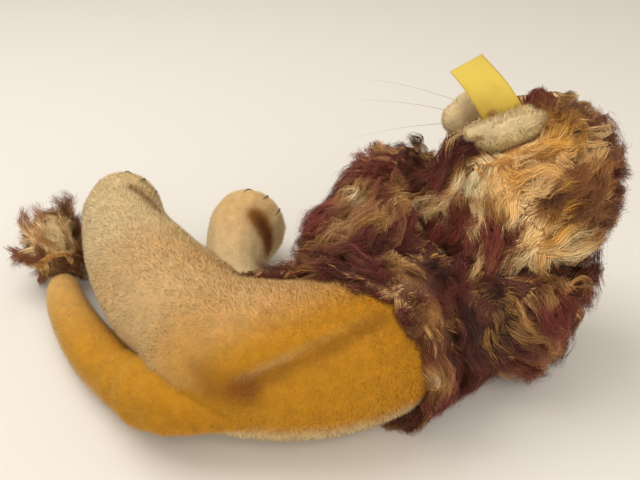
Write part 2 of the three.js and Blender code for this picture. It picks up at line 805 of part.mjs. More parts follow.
// Ear label: a strip of woven cloth sewn inside the left ear, standing out over its rim, its end curled
function labelStrip(grow = 0) {
  const half = labelThickness / 2 + grow;
  const bend = new THREE.QuadraticBezierCurve(
    new THREE.Vector2(0, labelLength * 0.28),
    new THREE.Vector2(0, labelLength * 0.75),
    new THREE.Vector2(labelCurl, labelLength),
  );
  const middle = [new THREE.Vector2(0, 0), ...bend.getPoints(8)];
  const offBy = (side) =>
    middle.map((point, i) => {
      const before = middle[i - 1] || point;
      const after = middle[i + 1] || point;
      const run = after.clone().sub(before).normalize();
      return new THREE.Vector2(point.x + side * run.y * half, point.y - side * run.x * half);
    });
  const outline = new THREE.Shape([...offBy(1), ...offBy(-1).reverse()]);
  const strip = new THREE.ExtrudeGeometry(outline, { depth: labelWidth + 2 * grow, bevelEnabled: false });
  strip.translate(0, 0, -labelWidth / 2 - grow);
  strip.rotateX(Math.PI / 2);
  const seat = chain(earFrame(1), shiftBy(labelThickness, labelAside, labelSeat), turnX(-labelLean));
  return moved(solidOf(strip), seat);
}

const whiskers = {};
const eyeRooms = [];
const earRooms = [];
const whiskerRooms = [];
for (const [name, side] of Object.entries(faceSides)) {
  eyeRooms.push(moved(eyeDome(seamGap), eyeFrame(side)), moved(eyeHairpin(seamGap), eyeFrame(side)));
  earRooms.push(moved(earShape(seamGap), earFrame(side)));
  for (const [row, rowShares] of Object.entries(whiskerRowShares)) {
    whiskers[`whisker_${name}_${row}`] = whisker(side, rowShares);
    whiskerRooms.push(whisker(side, rowShares, seamGap));
  }
}

const headInside = headForm(-coverThickness, 14).intersect(overSeam(neckClearance + coverThickness));
const headSkin = headForm().intersect(overSeam(neckClearance));
const headFilling = headForm(-coverThickness - stuffingGap, 12).intersect(overSeam(headDiscBottom));
const headCover = cutBy(headSkin, [...eyeRooms, ...whiskerRooms, headInside, pinHole]);
const headStuffing = cutBy(headFilling, [...eyeRooms, ...whiskerRooms, moved(headJointRoom, neckFrame)]);
const headDisc = ring(discRadius, pinHoleRadius, headDiscBottom, headDiscTop);
const headWasher = ring(washerRadius, pinHoleRadius, headWasherBottom, headWasherTop);
const earLayers = {
  back: earBowl(0, earPanelThickness),
  front: earBowl(earPanelThickness + seamGap, earPanelThickness),
};
head.add(meshOf("head_cover", headCover, palePile));
head.add(meshOf("head_stuffing", headStuffing, stuffing));
head.add(meshOf("nose_stitching", facePatch(noseShape), noseThread));
head.add(meshOf("mouth_stitching", facePatch(mouthShape), blackThread));
for (const [name, side] of Object.entries(faceSides)) {
  head.add(meshOf(`eye_${name}`, moved(eyeDome(0), eyeFrame(side)), amberGlass));
  head.add(meshOf(`eye_wire_${name}`, moved(eyeHairpin(0), eyeFrame(side)), plainSteel));
  for (const [layerName, layer] of Object.entries(earLayers)) {
    const seated = moved(layer, earFrame(side)).subtract(headBarrier);
    head.add(meshOf(`ear_${name}_${layerName}`, seated, palePile));
  }
}
Object.entries(whiskers).forEach(([name, solid]) => head.add(meshOf(name, solid, clearThread)));
head.add(meshOf("ear_label", labelStrip(), labelCloth));
head.add(meshOf("neck_disc_head", moved(headDisc, neckFrame), hardboard));
head.add(meshOf("neck_washer_head", moved(headWasher, neckFrame), plainSteel));

// Head mane: a ball of long pile round the back of the skull and a ruff that frames the face
const maneBallHalf = [headManeRadius, headManeRadius, headManeRadius];
const ruffHalf = [ruffDepth * 0.85, ruffRadius, ruffHeight];
const openingDepth = 2 * muzzleLength;
const openingStart = skullLength * 0.06;
const faceOpening = new THREE.CylinderGeometry(ruffRadius * 0.8, skullWidth * 0.48, openingDepth, 20);
faceOpening.rotateZ(-Math.PI / 2);
faceOpening.translate(openingStart + openingDepth / 2, 0, 0);
const maneBall = joined([ellipsoid([0, 0, 0], maneBallHalf, 18), ellipsoid([0, 0, 0], ruffHalf, 18)]);
const headMane = cutBy(moved(maneBall, faceFrame).intersect(overSeam(neckClearance)), [
  headBarrier,
  moved(solidOf(faceOpening), faceFrame),
  labelStrip(seamGap),
  ...earRooms,
  ...eyeRooms,
]);
head.add(meshOf("mane_head", headMane, manePile));

// The origin is in the middle of the animal's plan, on the floor
const bounds = new THREE.Box3().setFromObject(lion);
const middle = bounds.getCenter(new THREE.Vector3());
lion.position.set(-middle.x, -middle.y, 0);

export default lion;
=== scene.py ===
# %% [markdown]
# # A plush lion in golden mohair
#
# The lion lies on its right hip with its hind legs out to one side and its head turned back. The plain
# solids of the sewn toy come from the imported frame, in metres. This lesson dresses them: a smooth skin for
# every stuffed part, short pile on the body, long wavy locks on the mane, and the small trim of the face.

# %% Load the frame
import json
import math

import bmesh
import bpy
import numpy as np
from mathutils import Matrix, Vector, noise
from mathutils.bvhtree import BVHTree
from mathutils.kdtree import KDTree

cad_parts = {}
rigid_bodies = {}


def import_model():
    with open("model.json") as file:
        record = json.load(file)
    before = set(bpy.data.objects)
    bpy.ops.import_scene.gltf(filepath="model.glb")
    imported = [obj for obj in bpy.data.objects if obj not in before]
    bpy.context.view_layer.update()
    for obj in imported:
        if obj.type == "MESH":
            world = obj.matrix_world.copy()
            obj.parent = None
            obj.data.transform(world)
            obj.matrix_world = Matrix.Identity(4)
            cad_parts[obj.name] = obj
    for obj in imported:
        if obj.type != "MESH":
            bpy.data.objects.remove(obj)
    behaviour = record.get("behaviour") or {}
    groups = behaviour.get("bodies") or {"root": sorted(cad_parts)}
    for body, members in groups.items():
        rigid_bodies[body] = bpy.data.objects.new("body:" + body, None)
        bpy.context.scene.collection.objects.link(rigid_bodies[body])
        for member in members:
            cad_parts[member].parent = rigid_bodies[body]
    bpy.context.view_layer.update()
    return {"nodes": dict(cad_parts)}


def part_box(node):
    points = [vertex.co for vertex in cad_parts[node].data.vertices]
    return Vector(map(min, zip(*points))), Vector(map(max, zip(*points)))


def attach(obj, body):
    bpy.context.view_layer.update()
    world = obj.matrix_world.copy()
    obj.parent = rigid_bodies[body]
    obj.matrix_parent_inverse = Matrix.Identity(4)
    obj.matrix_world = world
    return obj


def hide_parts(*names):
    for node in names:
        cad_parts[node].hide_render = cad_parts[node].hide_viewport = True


for piece in list(bpy.data.objects):
    bpy.data.objects.remove(piece)
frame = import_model()
nodes = frame["nodes"]
MM = 0.001
print("solids in the frame:", len(nodes))

# %% [markdown]
# ## The view
#
# The photograph looks down on the lion at 30 degrees from a little above table height. A camera is a lens
# and a place, so both are written as numbers. The place could be found by eye, but four corners of the toy
# and the gaps between the floorboards fix it better.

# %% Camera
CAMERA_PLACE = (0.0164, -0.3276, 0.2400)
CAMERA_PITCH = math.radians(30)
CAMERA_FOCUS_PIXELS = 772
PHOTO_WIDTH_PIXELS = 640

camera_data = bpy.data.cameras.new("camera")
camera_data.sensor_width = 36
camera_data.lens = camera_data.sensor_width * CAMERA_FOCUS_PIXELS / PHOTO_WIDTH_PIXELS
camera = bpy.data.objects.new("camera", camera_data)
camera.location = CAMERA_PLACE
camera.rotation_euler = (math.pi / 2 - CAMERA_PITCH, 0, 0)
bpy.context.scene.collection.objects.link(camera)
bpy.context.scene.camera = camera
print("lens in millimetres:", round(camera_data.lens, 1))

# %% [markdown]
# ## Shader sums
#
# A shader is a web of small nodes. Written link by link it is hard to read, so one class wraps a node's
# output and lets it stand in a sum like any number. Another holds the web and adds every other kind of
# node.


# %% A socket that can be used in a sum
class Shade:
    """One output of a node. A sum of these adds the Math nodes that work it out."""

    def __init__(self, web, socket):
        self.web = web
        self.socket = socket

    def maths(self, operation, first, second):
        return self.web.node("ShaderNodeMath", {"operation": operation}, {0: first, 1: second})

    def __add__(self, other):
        return self.maths("ADD", self, other)

    def __radd__(self, other):
        return self.maths("ADD", self, other)

    def __sub__(self, other):
        return self.maths("SUBTRACT", self, other)

    def __rsub__(self, other):
        return self.maths("SUBTRACT", other, self)

    def __mul__(self, other):
        return self.maths("MULTIPLY", self, other)

    def __rmul__(self, other):
        return self.maths("MULTIPLY", self, other)

    def between(self, low, high):
        """0 below low, 1 above high, and a smooth step in between."""
        inputs = {"Value": self, "From Min": low, "From Max": high}
        return self.web.node("ShaderNodeMapRange", {"interpolation_type": "SMOOTHSTEP"}, inputs)


# %% The web of nodes of one material
def linear(hex_colour):
    """A colour as written on screen, turned into the light that it sends back."""
    parts = [int(hex_colour[i : i + 2], 16) / 255 for i in (1, 3, 5)]
    light = [part / 12.92 if part <= 0.04045 else ((part + 0.055) / 1.055) ** 2.4 for part in parts]
    return (*light, 1.0)


class Web:
    """The nodes of one material, with its Principled shader ready to be filled in."""

    def __init__(self, name, **plain):
        self.material = bpy.data.materials.new(name)
        self.material.use_nodes = True
        self.tree = self.material.node_tree
        self.shader = self.tree.nodes["Principled BSDF"]
        for socket, value in plain.items():
            self.shader.inputs[socket.replace("_", " ")].default_value = value

    def node(self, kind, settings=None, values=None, output=0):
        """Adds any node: its settings first, then what its sockets hold or are linked to."""
        made = self.tree.nodes.new(kind)
        for key, value in (settings or {}).items():
            setattr(made, key, value)
        for key, value in (values or {}).items():
            self.put(made.inputs[key], value)
        return Shade(self, made.outputs[output])

    def put(self, socket, value):
        if isinstance(value, Shade):
            self.tree.links.new(value.socket, socket)
        else:
            socket.default_value = value

    def blend(self, share, first, second):
        """The first colour, with a share of the second one over it."""
        return self.node("ShaderNodeMix", {"data_type": "RGBA"}, {0: share, 6: first, 7: second}, output=2)

    def scaled(self, colour, light):
        return self.node("ShaderNodeVectorMath", {"operation": "SCALE"}, {0: colour, "Scale": light})

    def attribute(self, name):
        return self.node("ShaderNodeAttribute", {"attribute_name": name}, output=2)

    def grain(self, per_metre, detail):
        """A noise of that many bumps per metre, fixed to the piece."""
        place = self.node("ShaderNodeTexCoord", output=3)
        return self.node("ShaderNodeTexNoise", {}, {"Vector": place, "Scale": per_metre, "Detail": detail})

    def finish(self, **links):
        for socket, value in links.items():
            self.put(self.shader.inputs[socket.replace("_", " ")], value)
        return self.material

    def bump(self, height, depth, strength=1.0):
        values = {"Height": height, "Distance": depth, "Strength": strength}
        return self.node("ShaderNodeBump", {}, values)


# %% [markdown]
# ## Finishes
#
# Mohair is dyed in two ways here. The cloth itself runs from cream to gold, and an airbrush then put brown
# along the seams and dark red-brown on the tips of the mane. The same numbers also carry painted light:
# painted shade in the furrow of the back seam and in the hip crease, a painted highlight on the seam's ridge,
# a paler foot of the body and the tail that is partly undyed cream and partly a painted glow from the floor,
# and a painted shadow on the tail's tuft. All of it is painted on the points of the meshes as plain numbers,
# and the material only mixes its colours by them. Painting in the shader alone would work too, but a hair
# has to keep the dye of the place it grows from.

# %% Short pile
CREAM = linear("#f7e4b6")
GOLD = linear("#d99a15")
BROWN = linear("#9c5a0c")
DARK_BROWN = linear("#4f2a0c")
WARM_SHEEN = (1.0, 0.78, 0.5, 1.0)


SPECKLE, NAP, GLINT = 0.34, 0.45, 0.2


def short_pile(name):
    web = Web(name, Roughness=0.85, Sheen_Weight=0.2, Sheen_Roughness=0.45, Sheen_Tint=WARM_SHEEN)
    nap = web.grain(160, detail=4)
    hairs = web.grain(1800, detail=1)
    gold = web.attribute("gold")
    brown = web.attribute("brown")
    cloth = web.blend(gold, CREAM, GOLD)
    cloth = web.blend(brown.between(0.0, 0.75), cloth, BROWN)
    cloth = web.blend(brown.between(0.7, 1.3) * 0.8, cloth, DARK_BROWN)
    light = 1 - SPECKLE / 2 + web.attribute("seed") * SPECKLE + (nap - 0.5) * NAP + (hairs - 0.5) * GLINT
    height = hairs * 0.7 + nap * 0.3
    return web.finish(Base_Color=web.scaled(cloth, light), Normal=web.bump(height, 0.4 * MM, 0.6))


body_pile = short_pile("body_pile")
print("finish:", body_pile.name)

# %% Long mohair of the mane
ROOT_CREAM = linear("#fbeec2")
ROOT_ORANGE = linear("#f6b648")
MIDDLE_GOLD = linear("#b97c30")
TIP_RUST = linear("#7f3a2e")
TIP_DARK = linear("#3f201a")


def long_mohair(name):
    web = Web(name, Roughness=0.6, Specular_IOR_Level=0.2, Sheen_Weight=0.1, Sheen_Tint=WARM_SHEEN)
    root = web.blend(web.attribute("warm"), ROOT_CREAM, ROOT_ORANGE)
    tip = web.blend(web.attribute("dark"), TIP_RUST, TIP_DARK)
    dye = web.attribute("dye")
    colour = web.blend(dye.between(0.0, 0.45) * 0.85, root, MIDDLE_GOLD)
    colour = web.blend(dye.between(0.25, 0.9), colour, tip)
    light = 0.7 + web.attribute("seed") * 0.6
    return web.finish(Base_Color=web.scaled(colour, light))


mane_mohair = long_mohair("mane_mohair")
print("finish:", mane_mohair.name)


# %% Backing cloth, threads, label, eyes and the hidden joint
def backing_cloth():
    web = Web("mane_backing", Roughness=0.95)
    weave = web.grain(900, detail=2)
    ground = web.blend(web.attribute("dye"), linear("#d49a4e"), linear("#4a2119"))
    colour = web.blend(weave.between(0.35, 0.7) * 0.5, ground, linear("#7a4a2a"))
    return web.finish(Base_Color=colour, Normal=web.bump(weave, 0.5 * MM))


def label_cloth():
    web = Web("label_cloth", Roughness=0.75, Sheen_Weight=0.1)
    weave = web.grain(1400, detail=1)
    age = web.grain(60, detail=3)
    yellow = web.blend(age.between(0.4, 0.75), linear("#d2b235"), linear("#c29c2c"))
    yellow = web.blend(weave * 0.25, yellow, linear("#e6d078"))
    return web.finish(Base_Color=yellow, Normal=web.bump(weave, 0.08 * MM))


def grained(name, low, high, per_metre, detail, depth, **plain):
    """A finish whose colour and height both follow one grain."""
    web = Web(name, **plain)
    grain = web.grain(per_metre, detail)
    colour = web.blend(grain, linear(low), linear(high))
    return web.finish(Base_Color=colour, Normal=web.bump(grain, depth))


def plain_steel():
    web = Web("plain_steel", Metallic=1.0)
    scratches = web.grain(700, detail=3)
    colour = web.blend(scratches, linear("#a9adb2"), linear("#d0d3d6"))
    return web.finish(Base_Color=colour, Roughness=0.25 + scratches * 0.25)


def thread_finish(name, dark, pale):
    return grained(name, dark, pale, 1600, 2, 0.15 * MM, Roughness=0.6, Sheen_Weight=0.2)


def eye_glass():
    """Amber glass with a black pupil. The attribute across is 0 in the eye's middle and 1 at its rim."""
    web = Web("eye_glass", Roughness=0.04, Coat_Weight=1.0, Coat_Roughness=0.02)
    across = web.attribute("across")
    flecks = web.grain(900, detail=3)
    amber = web.blend(flecks.between(0.3, 0.7), linear("#b8641a"), linear("#7c3b0e"))
    seen = web.blend(across.between(0.5, 0.56), linear("#050403"), amber)
    return web.finish(Base_Color=web.blend(across.between(0.82, 0.95), seen, linear("#140a05")))


backing = backing_cloth()
eye_glass_finish = eye_glass()
claw_thread = thread_finish("claw_thread", "#1b1512", "#3d322b")
nose_thread = thread_finish("nose_thread", "#7a3323", "#a8563f")
whisker_thread = thread_finish("whisker_thread", "#b59a66", "#e6d8b4")
yellow_cloth = label_cloth()
filling = grained("fibre_filling", "#c4b083", "#e8dcbc", 300, 4, 1.0 * MM, Roughness=1.0)
steel = plain_steel()
board = grained("pressed_board", "#5f4227", "#8f6a42", 500, 4, 0.2 * MM, Roughness=0.85)
print("finishes so far:", len(bpy.data.materials))

# %% [markdown]
# ## Skins
#
# A stuffed toy is a bag pulled tight over its filling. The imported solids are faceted, so every visible bag
# gets a new skin: cover and filling are joined into one lump, remeshed with small voxels, smoothed, and
# drawn in by the depth of the pile that will stand on it. Subdividing the covers would keep their facets.


# %% Points and faces of a solid
def welded(name, grow=0.0):
    """A node's points and faces, with its split corners joined and its skin moved out."""
    mesh = bmesh.new()
    mesh.from_mesh(nodes[name].data)
    bmesh.ops.remove_doubles(mesh, verts=mesh.verts, dist=0.005 * MM)
    mesh.normal_update()
    points = [v.co + v.normal * grow for v in mesh.verts]
    faces = [[v.index for v in f.verts] for f in mesh.faces]
    mesh.free()
    return points, faces


def lump(parts, balls=()):
    """Several solids as one loose mesh: nodes' names with how far each is grown, and balls of padding."""
    points, faces = [], []
    pieces = [welded(name, grow) for name, grow in parts] + [ball(*place) for place in balls]
    for more_points, more_faces in pieces:
        start = len(points)
        points += more_points
        faces += [[start + i for i in face] for face in more_faces]
    mesh = bpy.data.meshes.new("lump")
    mesh.from_pydata([tuple(p) for p in points], [], faces)
    return mesh


def ball(centre, radius):
    mesh = bmesh.new()
    bmesh.ops.create_icosphere(mesh, subdivisions=3, radius=radius)
    points = [v.co + Vector(centre) for v in mesh.verts]
    faces = [[v.index for v in f.verts] for f in mesh.faces]
    mesh.free()
    return points, faces


def arrays(mesh):
    """The places and normals of a mesh's points, as rows of three."""
    places = np.empty(len(mesh.vertices) * 3)
    normals = np.empty(len(mesh.vertices) * 3)
    mesh.vertices.foreach_get("co", places)
    mesh.vertices.foreach_get("normal", normals)
    return places.reshape(-1, 3), normals.reshape(-1, 3)


def set_places(mesh, places):
    mesh.vertices.foreach_set("co", np.ascontiguousarray(places).ravel())
    mesh.update()


def keep_largest_island(mesh):
    """Removes the closed pockets that a remesh leaves inside."""
    work = bmesh.new()
    work.from_mesh(mesh)
    left = set(work.verts)
    largest = []
    while left:
        island = [left.pop()]
        for vertex in island:
            for edge in vertex.link_edges:
                other = edge.other_vert(vertex)
                if other in left:
                    left.remove(other)
                    island.append(other)
        if len(island) > len(largest):
            largest = island
    keep = set(largest)
    bmesh.ops.delete(work, geom=[v for v in work.verts if v not in keep], context="VERTS")
    work.to_mesh(mesh)
    work.free()


# %% A smooth skin over solids
def link(name, mesh, *materials):
    piece = bpy.data.objects.new(name, mesh)
    bpy.context.scene.collection.objects.link(piece)
    for material in materials:
        mesh.materials.append(material)
    return piece


def applied(piece):
    """The piece's mesh with its modifiers worked in."""
    bpy.context.view_layer.update()
    evaluated = piece.evaluated_get(bpy.context.evaluated_depsgraph_get())
    mesh = bpy.data.meshes.new_from_object(evaluated)
    piece.modifiers.clear()
    piece.data = mesh
    return mesh


def make_skin(name, parts, material, voxel, sink, smooth, balls=()):
    piece = link(name, lump(parts, balls))
    remesh = piece.modifiers.new("remesh", "REMESH")
    remesh.mode = "VOXEL"
    remesh.voxel_size = voxel
    relax = piece.modifiers.new("relax", "SMOOTH")
    relax.iterations = smooth
    mesh = applied(piece)
    keep_largest_island(mesh)
    places, normals = arrays(mesh)
    set_places(mesh, places - normals * sink)
    mesh.shade_smooth()
    mesh.materials.clear()
    mesh.materials.append(material)
    print(name, "faces:", len(mesh.polygons))
    return piece


# %% [markdown]
# The torso and the upper hind leg are cut from the same cloth, so they share one skin, and the hip between
# them is relaxed until it runs over without a ridge. The other limbs are sewn on and keep their seams.
# Balls of padding fill out the root of the tail and the muzzle, and the skin is pressed in under the eyes.

# %% Body skins
FILLING_GROWTH = 3.6 * MM
PILE_DEPTH = 2.2 * MM


def stuffed(*names):
    """The solids of stuffed parts: each cover, and its filling grown until it meets the cover."""
    parts = []
    for name in names:
        parts += [(f"{name}_cover", 0.0), (f"{name}_stuffing", FILLING_GROWTH)]
    return parts


TAIL_ROOT = [
    # x, y, z and radius in mm, from the tail's thick end along the foot of the rump
    (-66, -66, 17, 15),
    (-55, -77, 21, 17),
    (-45, -84, 25, 17),
    (-36, -88, 26, 14.5),
    (-28, -92, 26, 11),
    (-20, -95, 25, 8),
    (-12, -97.5, 23.5, 5.5),
]
tail_root_balls = [((x * MM, y * MM, z * MM), radius * MM) for x, y, z, radius in TAIL_ROOT]

skins = {
    "body_skin": make_skin(
        "body_skin", stuffed("torso", "hind_leg_left"), body_pile, 1.9 * MM, PILE_DEPTH * 0.8, 6
    ),
    "tail": make_skin(
        "tail_skin", stuffed("tail"), body_pile, 1.6 * MM, PILE_DEPTH * 0.8, 26, tail_root_balls
    ),
}
for limb in ("hind_leg_right", "front_leg_left", "front_leg_right"):
    skins[limb] = make_skin(f"{limb}_skin", stuffed(limb), body_pile, 1.6 * MM, PILE_DEPTH, 4)

# %% Head skin, with its muzzle and the sockets of the eyes
MUZZLE_PADS = [(81, 12, 109, 8.3), (85, 12.5, 115, 7.0)]
SOCKET_RADIUS, SOCKET_DEPTH = 5.5 * MM, 2.2 * MM


def unit(vectors):
    return vectors / np.maximum(np.linalg.norm(vectors, axis=-1, keepdims=True), 1e-12)


def middle_of(node):
    return np.array(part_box(node)).mean(axis=0)


def mirrored(place, left_node, right_node):
    """The same place on the other side of the middle plane between two nodes."""
    left, right = middle_of(left_node), middle_of(right_node)
    across = unit(left - right)
    return place - 2 * ((place - (left + right) / 2) @ across) * across


def soft_spot(points, centre, radius):
    """1 at a centre, fading with distance over a radius."""
    return np.exp(-((np.linalg.norm(points - centre, axis=1) / radius) ** 2))


pads = []
for x, y, z, radius in MUZZLE_PADS:
    place = np.array([x, y, z]) * MM
    across_face = mirrored(place, "eye_left", "eye_right")
    pads += [(tuple(place), radius * MM), (tuple(across_face), radius * MM)]
skins["head"] = make_skin("head_skin", stuffed("head"), body_pile, 1.3 * MM, PILE_DEPTH * 0.4, 6, pads)

eye_middles = [middle_of("eye_left"), middle_of("eye_right")]
places, normals = arrays(skins["head"].data)
for eye_middle in eye_middles:
    inward = SOCKET_DEPTH * soft_spot(places, eye_middle, SOCKET_RADIUS)
    places = places - normals * inward[:, None]
set_places(skins["head"].data, places)
print("skins:", len(skins))



# %% Relax the hip
def solid_tree(name):
    points, faces = welded(name)
    return BVHTree.FromPolygons(points, faces)


def distances(tree, places):
    return np.array([tree.find_nearest(Vector(place))[3] for place in places])


def neighbour_average(mesh, places):
    edges = np.empty(len(mesh.edges) * 2, dtype=np.int32)
    mesh.edges.foreach_get("vertices", edges)
    edges = edges.reshape(-1, 2)
    total = np.zeros_like(places)
    count = np.zeros(len(places))
    for a, b in ((0, 1), (1, 0)):
        np.add.at(total, edges[:, a], places[edges[:, b]])
        np.add.at(count, edges[:, a], 1)
    return total / np.maximum(count, 1)[:, None]


HIP_REACH = 13 * MM
HIP_ROUNDS, HIP_EASING = 45, 0.7


def relax_hip(mesh):
    places, _ = arrays(mesh)
    to_torso = distances(solid_tree("torso_cover"), places)
    to_leg = distances(solid_tree("hind_leg_left_cover"), places)
    weight = np.clip(1 - np.maximum(to_torso, to_leg) / HIP_REACH, 0, 1)[:, None]
    for _ in range(HIP_ROUNDS):
        places += weight * HIP_EASING * (neighbour_average(mesh, places) - places)
    set_places(mesh, places)
    print("relaxed points:", int((weight > 0).sum()))


relax_hip(skins["body_skin"].data)

# %% [markdown]
# ## Dye and painted light
#
# The airbrush followed the seam along the back, and was heaviest where the tail is sewn on. The brown on
# the seam is also painted shade of its furrow, the brown in the hip crease is painted shade, and a paler
# line above the seam is a painted highlight. A stroke is strongest on its line and fades with distance,
# which the functions below work out for any set of points. Places are given as shares of a solid's own
# box, so they stay on the toy if its size changes.


# %% Places and strokes
def place_in(node, *shares):
    low, high = (np.array(corner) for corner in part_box(node))
    return low + (high - low) * np.array(shares)


def nearest_on_line(points, line):
    """The nearest places on a line of straight stretches, and how far off they are."""
    best = np.full(len(points), np.inf)
    found = np.zeros_like(points)
    for start, end in zip(line[:-1], line[1:]):
        along = end - start
        share = np.clip((points - start) @ along / (along @ along), 0, 1)
        place = start + share[:, None] * along
        gap = np.linalg.norm(points - place, axis=1)
        closer = gap < best
        best[closer], found[closer] = gap[closer], place[closer]
    return found, best


def distance_to_line(points, line):
    return nearest_on_line(points, line)[1]


def stroke(points, line, radius):
    return np.exp(-((distance_to_line(points, line) / radius) ** 2))


def smooth_step(values, low, high):
    share = np.clip((values - low) / (high - low), 0, 1)
    return share * share * (3 - 2 * share)


def line_in(node, *rows):
    return [place_in(node, *row) for row in rows]


# How far the ridge lies from the seam; a paler line is painted there as highlight.
SEAM_HIGHLIGHT_OFFSET = np.array([0, 2.5, 3.0]) * MM
back_seam = line_in(
    "torso_cover",
    (0.25, 0.028, 0.62),
    (0.314, 0.041, 0.708),
    (0.416, 0.086, 0.812),
    (0.479, 0.133, 0.86),
    (0.56, 0.205, 0.905),
)
seam_highlight_line = [place + SEAM_HIGHLIGHT_OFFSET for place in back_seam]
rump_stroke = line_in("torso_cover", (0.165, 0.07, 0.66), (0.205, 0.042, 0.6), (0.26, 0.028, 0.6))
hip_crease = line_in(
    "torso_cover", (0.07, 0.85, 0.83), (0.12, 0.75, 0.86), (0.176, 0.64, 0.85), (0.23, 0.55, 0.84)
)
toe_stroke = line_in("hind_leg_left_cover", (0.30, 0.79, 0.79), (0.40, 0.74, 0.72), (0.48, 0.64, 0.74))
heel_stroke = line_in("hind_leg_right_cover", (0.61, 0.735, 0.86), (0.75, 0.685, 0.5))
print("length of the back seam in mm:", round(np.linalg.norm(back_seam[-1] - back_seam[0]) / MM))


# %% Dye and painted light of each part
# Each gives the shares of gold and of brown: airbrushed brown, and painted shade in the seam's furrow and
# the hip crease. The numbers were matched to the photograph.
def torso_dye_and_painted_light(points, normals):
    near, gap = nearest_on_line(points, back_seam)
    above = 1 - smooth_step(gap, 8 * MM, 42 * MM)
    to_rump = 1 - smooth_step(distance_to_line(points, rump_stroke), 5 * MM, 48 * MM)
    lower = smooth_step(near[:, 2] - points[:, 2], -2 * MM, 6 * MM)
    lower *= smooth_step(-normals[:, 1], -0.2, 0.2) * smooth_step(points[:, 0], -52 * MM, -34 * MM)
    # Paler towards the floor: partly the undyed cream underside, partly a painted glow of light from the
    # floor.
    rim = 0.15 + 0.85 * smooth_step(points[:, 2], 15 * MM, 27 * MM)
    base = 0.14 + 0.34 * smooth_step(-points[:, 1], -15 * MM, 40 * MM)
    gold = np.clip(base + (1 - base) * np.maximum(np.maximum(above, to_rump * 0.7), lower), 0, 1) * rim
    # Brown of the airbrush along the back seam and at the rump; on the seam it is also painted shade of the
    # furrow, and in the hip crease it is painted shade.
    brown = 0.34 * stroke(points, back_seam, 4.5 * MM) + 0.36 * stroke(points, rump_stroke, 9 * MM)
    brown += 0.12 * stroke(points, back_seam, 13 * MM) + 0.1 * stroke(points, hip_crease, 4 * MM)
    # Painted highlight: the cloth is paler along the ridge just above the seam's furrow.
    gold *= 1 - 0.35 * stroke(points, seam_highlight_line, 1.8 * MM)
    return gold, brown + 0.6 * stroke(points, toe_stroke, 4.5 * MM)


def lower_foot_dye(points, normals):
    gold = 0.3 + 0.25 * smooth_step(points[:, 2], 24 * MM, 42 * MM)
    return gold, 0.07 + 1.1 * stroke(points, heel_stroke, 5.5 * MM)


def tail_dye_and_painted_glow(points, normals):
    to_root = smooth_step(-points[:, 1], -0.03, 0.06)
    # Paler towards the floor: partly undyed cream, partly a painted glow of light from the floor.
    rim = smooth_step(points[:, 2], 6 * MM, 18 * MM)
    return 0.55 + (0.2 + 0.25 * to_root) * rim, 0.14 * to_root


def paw_dye(points, normals):
    gold = 0.15 + 0.3 * smooth_step(points[:, 2], 15 * MM, 34 * MM)
    return gold, np.zeros(len(points))


def face_dye(points, normals):
    gold = 0.03 + 0.12 * smooth_step(points[:, 2], 98 * MM, 116 * MM)
    return gold, np.zeros(len(points))


dyes_and_painted_light = {
    "body_skin": torso_dye_and_painted_light,
    "hind_leg_right": lower_foot_dye,
    "tail": tail_dye_and_painted_glow,
    "front_leg_left": paw_dye,
    "front_leg_right": paw_dye,
    "head": face_dye,
}


def paint(mesh, **fields):
    for name, values in fields.items():
        layer = mesh.attributes.new(name, "FLOAT", "POINT")
        layer.data.foreach_set("value", np.ascontiguousarray(values, dtype=np.float32))


for name, skin in skins.items():
    places, normals = arrays(skin.data)
    gold, brown = dyes_and_painted_light[name](places, normals)
    paint(skin.data, gold=gold, brown=brown, seed=np.full(len(places), 0.5))
print("dyed skins:", len(dyes_and_painted_light))

# %% [markdown]
# The seam of the back is a shallow furrow in the pile, so the skin is drawn in along the same line.

# %% Furrow of the back seam
FURROW_DEPTH = 2.2 * MM
FURROW_WIDTH = 3.2 * MM
HIP_SHARE = 1.1
HIP_WIDTH = 6 * MM

mesh = skins["body_skin"].data
places, normals = arrays(mesh)
furrows = stroke(places, back_seam, FURROW_WIDTH) + HIP_SHARE * stroke(places, hip_crease, HIP_WIDTH)
set_places(mesh, places - normals * FURROW_DEPTH * furrows[:, None])
print("furrow drawn in by", FURROW_DEPTH / MM, "mm")

# %% [markdown]
# ## Short pile
#
# Mohair cloth is covered with fine hairs a few millimetres long, all brushed the same way. Blender's hair
# would do, but only meshes leave the scene, so each hair is one thin triangle, leaning over in the brushed
# direction. The hairs are made together as arrays, which takes a second where a loop would take minutes.


# %% Scatter roots over a skin
def scatter(mesh, per_square_mm, draw):
    mesh.calc_loop_triangles()
    corners = np.empty(len(mesh.loop_triangles) * 3, dtype=np.int32)
    mesh.loop_triangles.foreach_get("vertices", corners)
    corners = corners.reshape(-1, 3)
    places, normals = arrays(mesh)
    a, b, c = (places[corners[:, i]] for i in range(3))
    areas = np.linalg.norm(np.cross(b - a, c - a), axis=1) / 2
    count = int(areas.sum() / MM**2 * per_square_mm)
    chosen = np.searchsorted(np.cumsum(areas), draw.random(count) * areas.sum())
    chosen = np.minimum(chosen, len(areas) - 1)
    first, second = draw.random(count), draw.random(count)
    flip = first + second > 1
    first[flip], second[flip] = 1 - first[flip], 1 - second[flip]
    shares = np.stack([1 - first - second, first, second], axis=1)
    roots = np.einsum("ij,ijk->ik", shares, places[corners[chosen]])
    outward = np.einsum("ij,ijk->ik", shares, normals[corners[chosen]])
    return roots, unit(outward)


def flattened(vectors, normals):
    """What is left of the vectors in the plane of the skin."""
    return unit(vectors - (vectors * normals).sum(axis=-1, keepdims=True) * normals)


PROBE = Vector((0.31, 0.87, 0.38)).normalized()


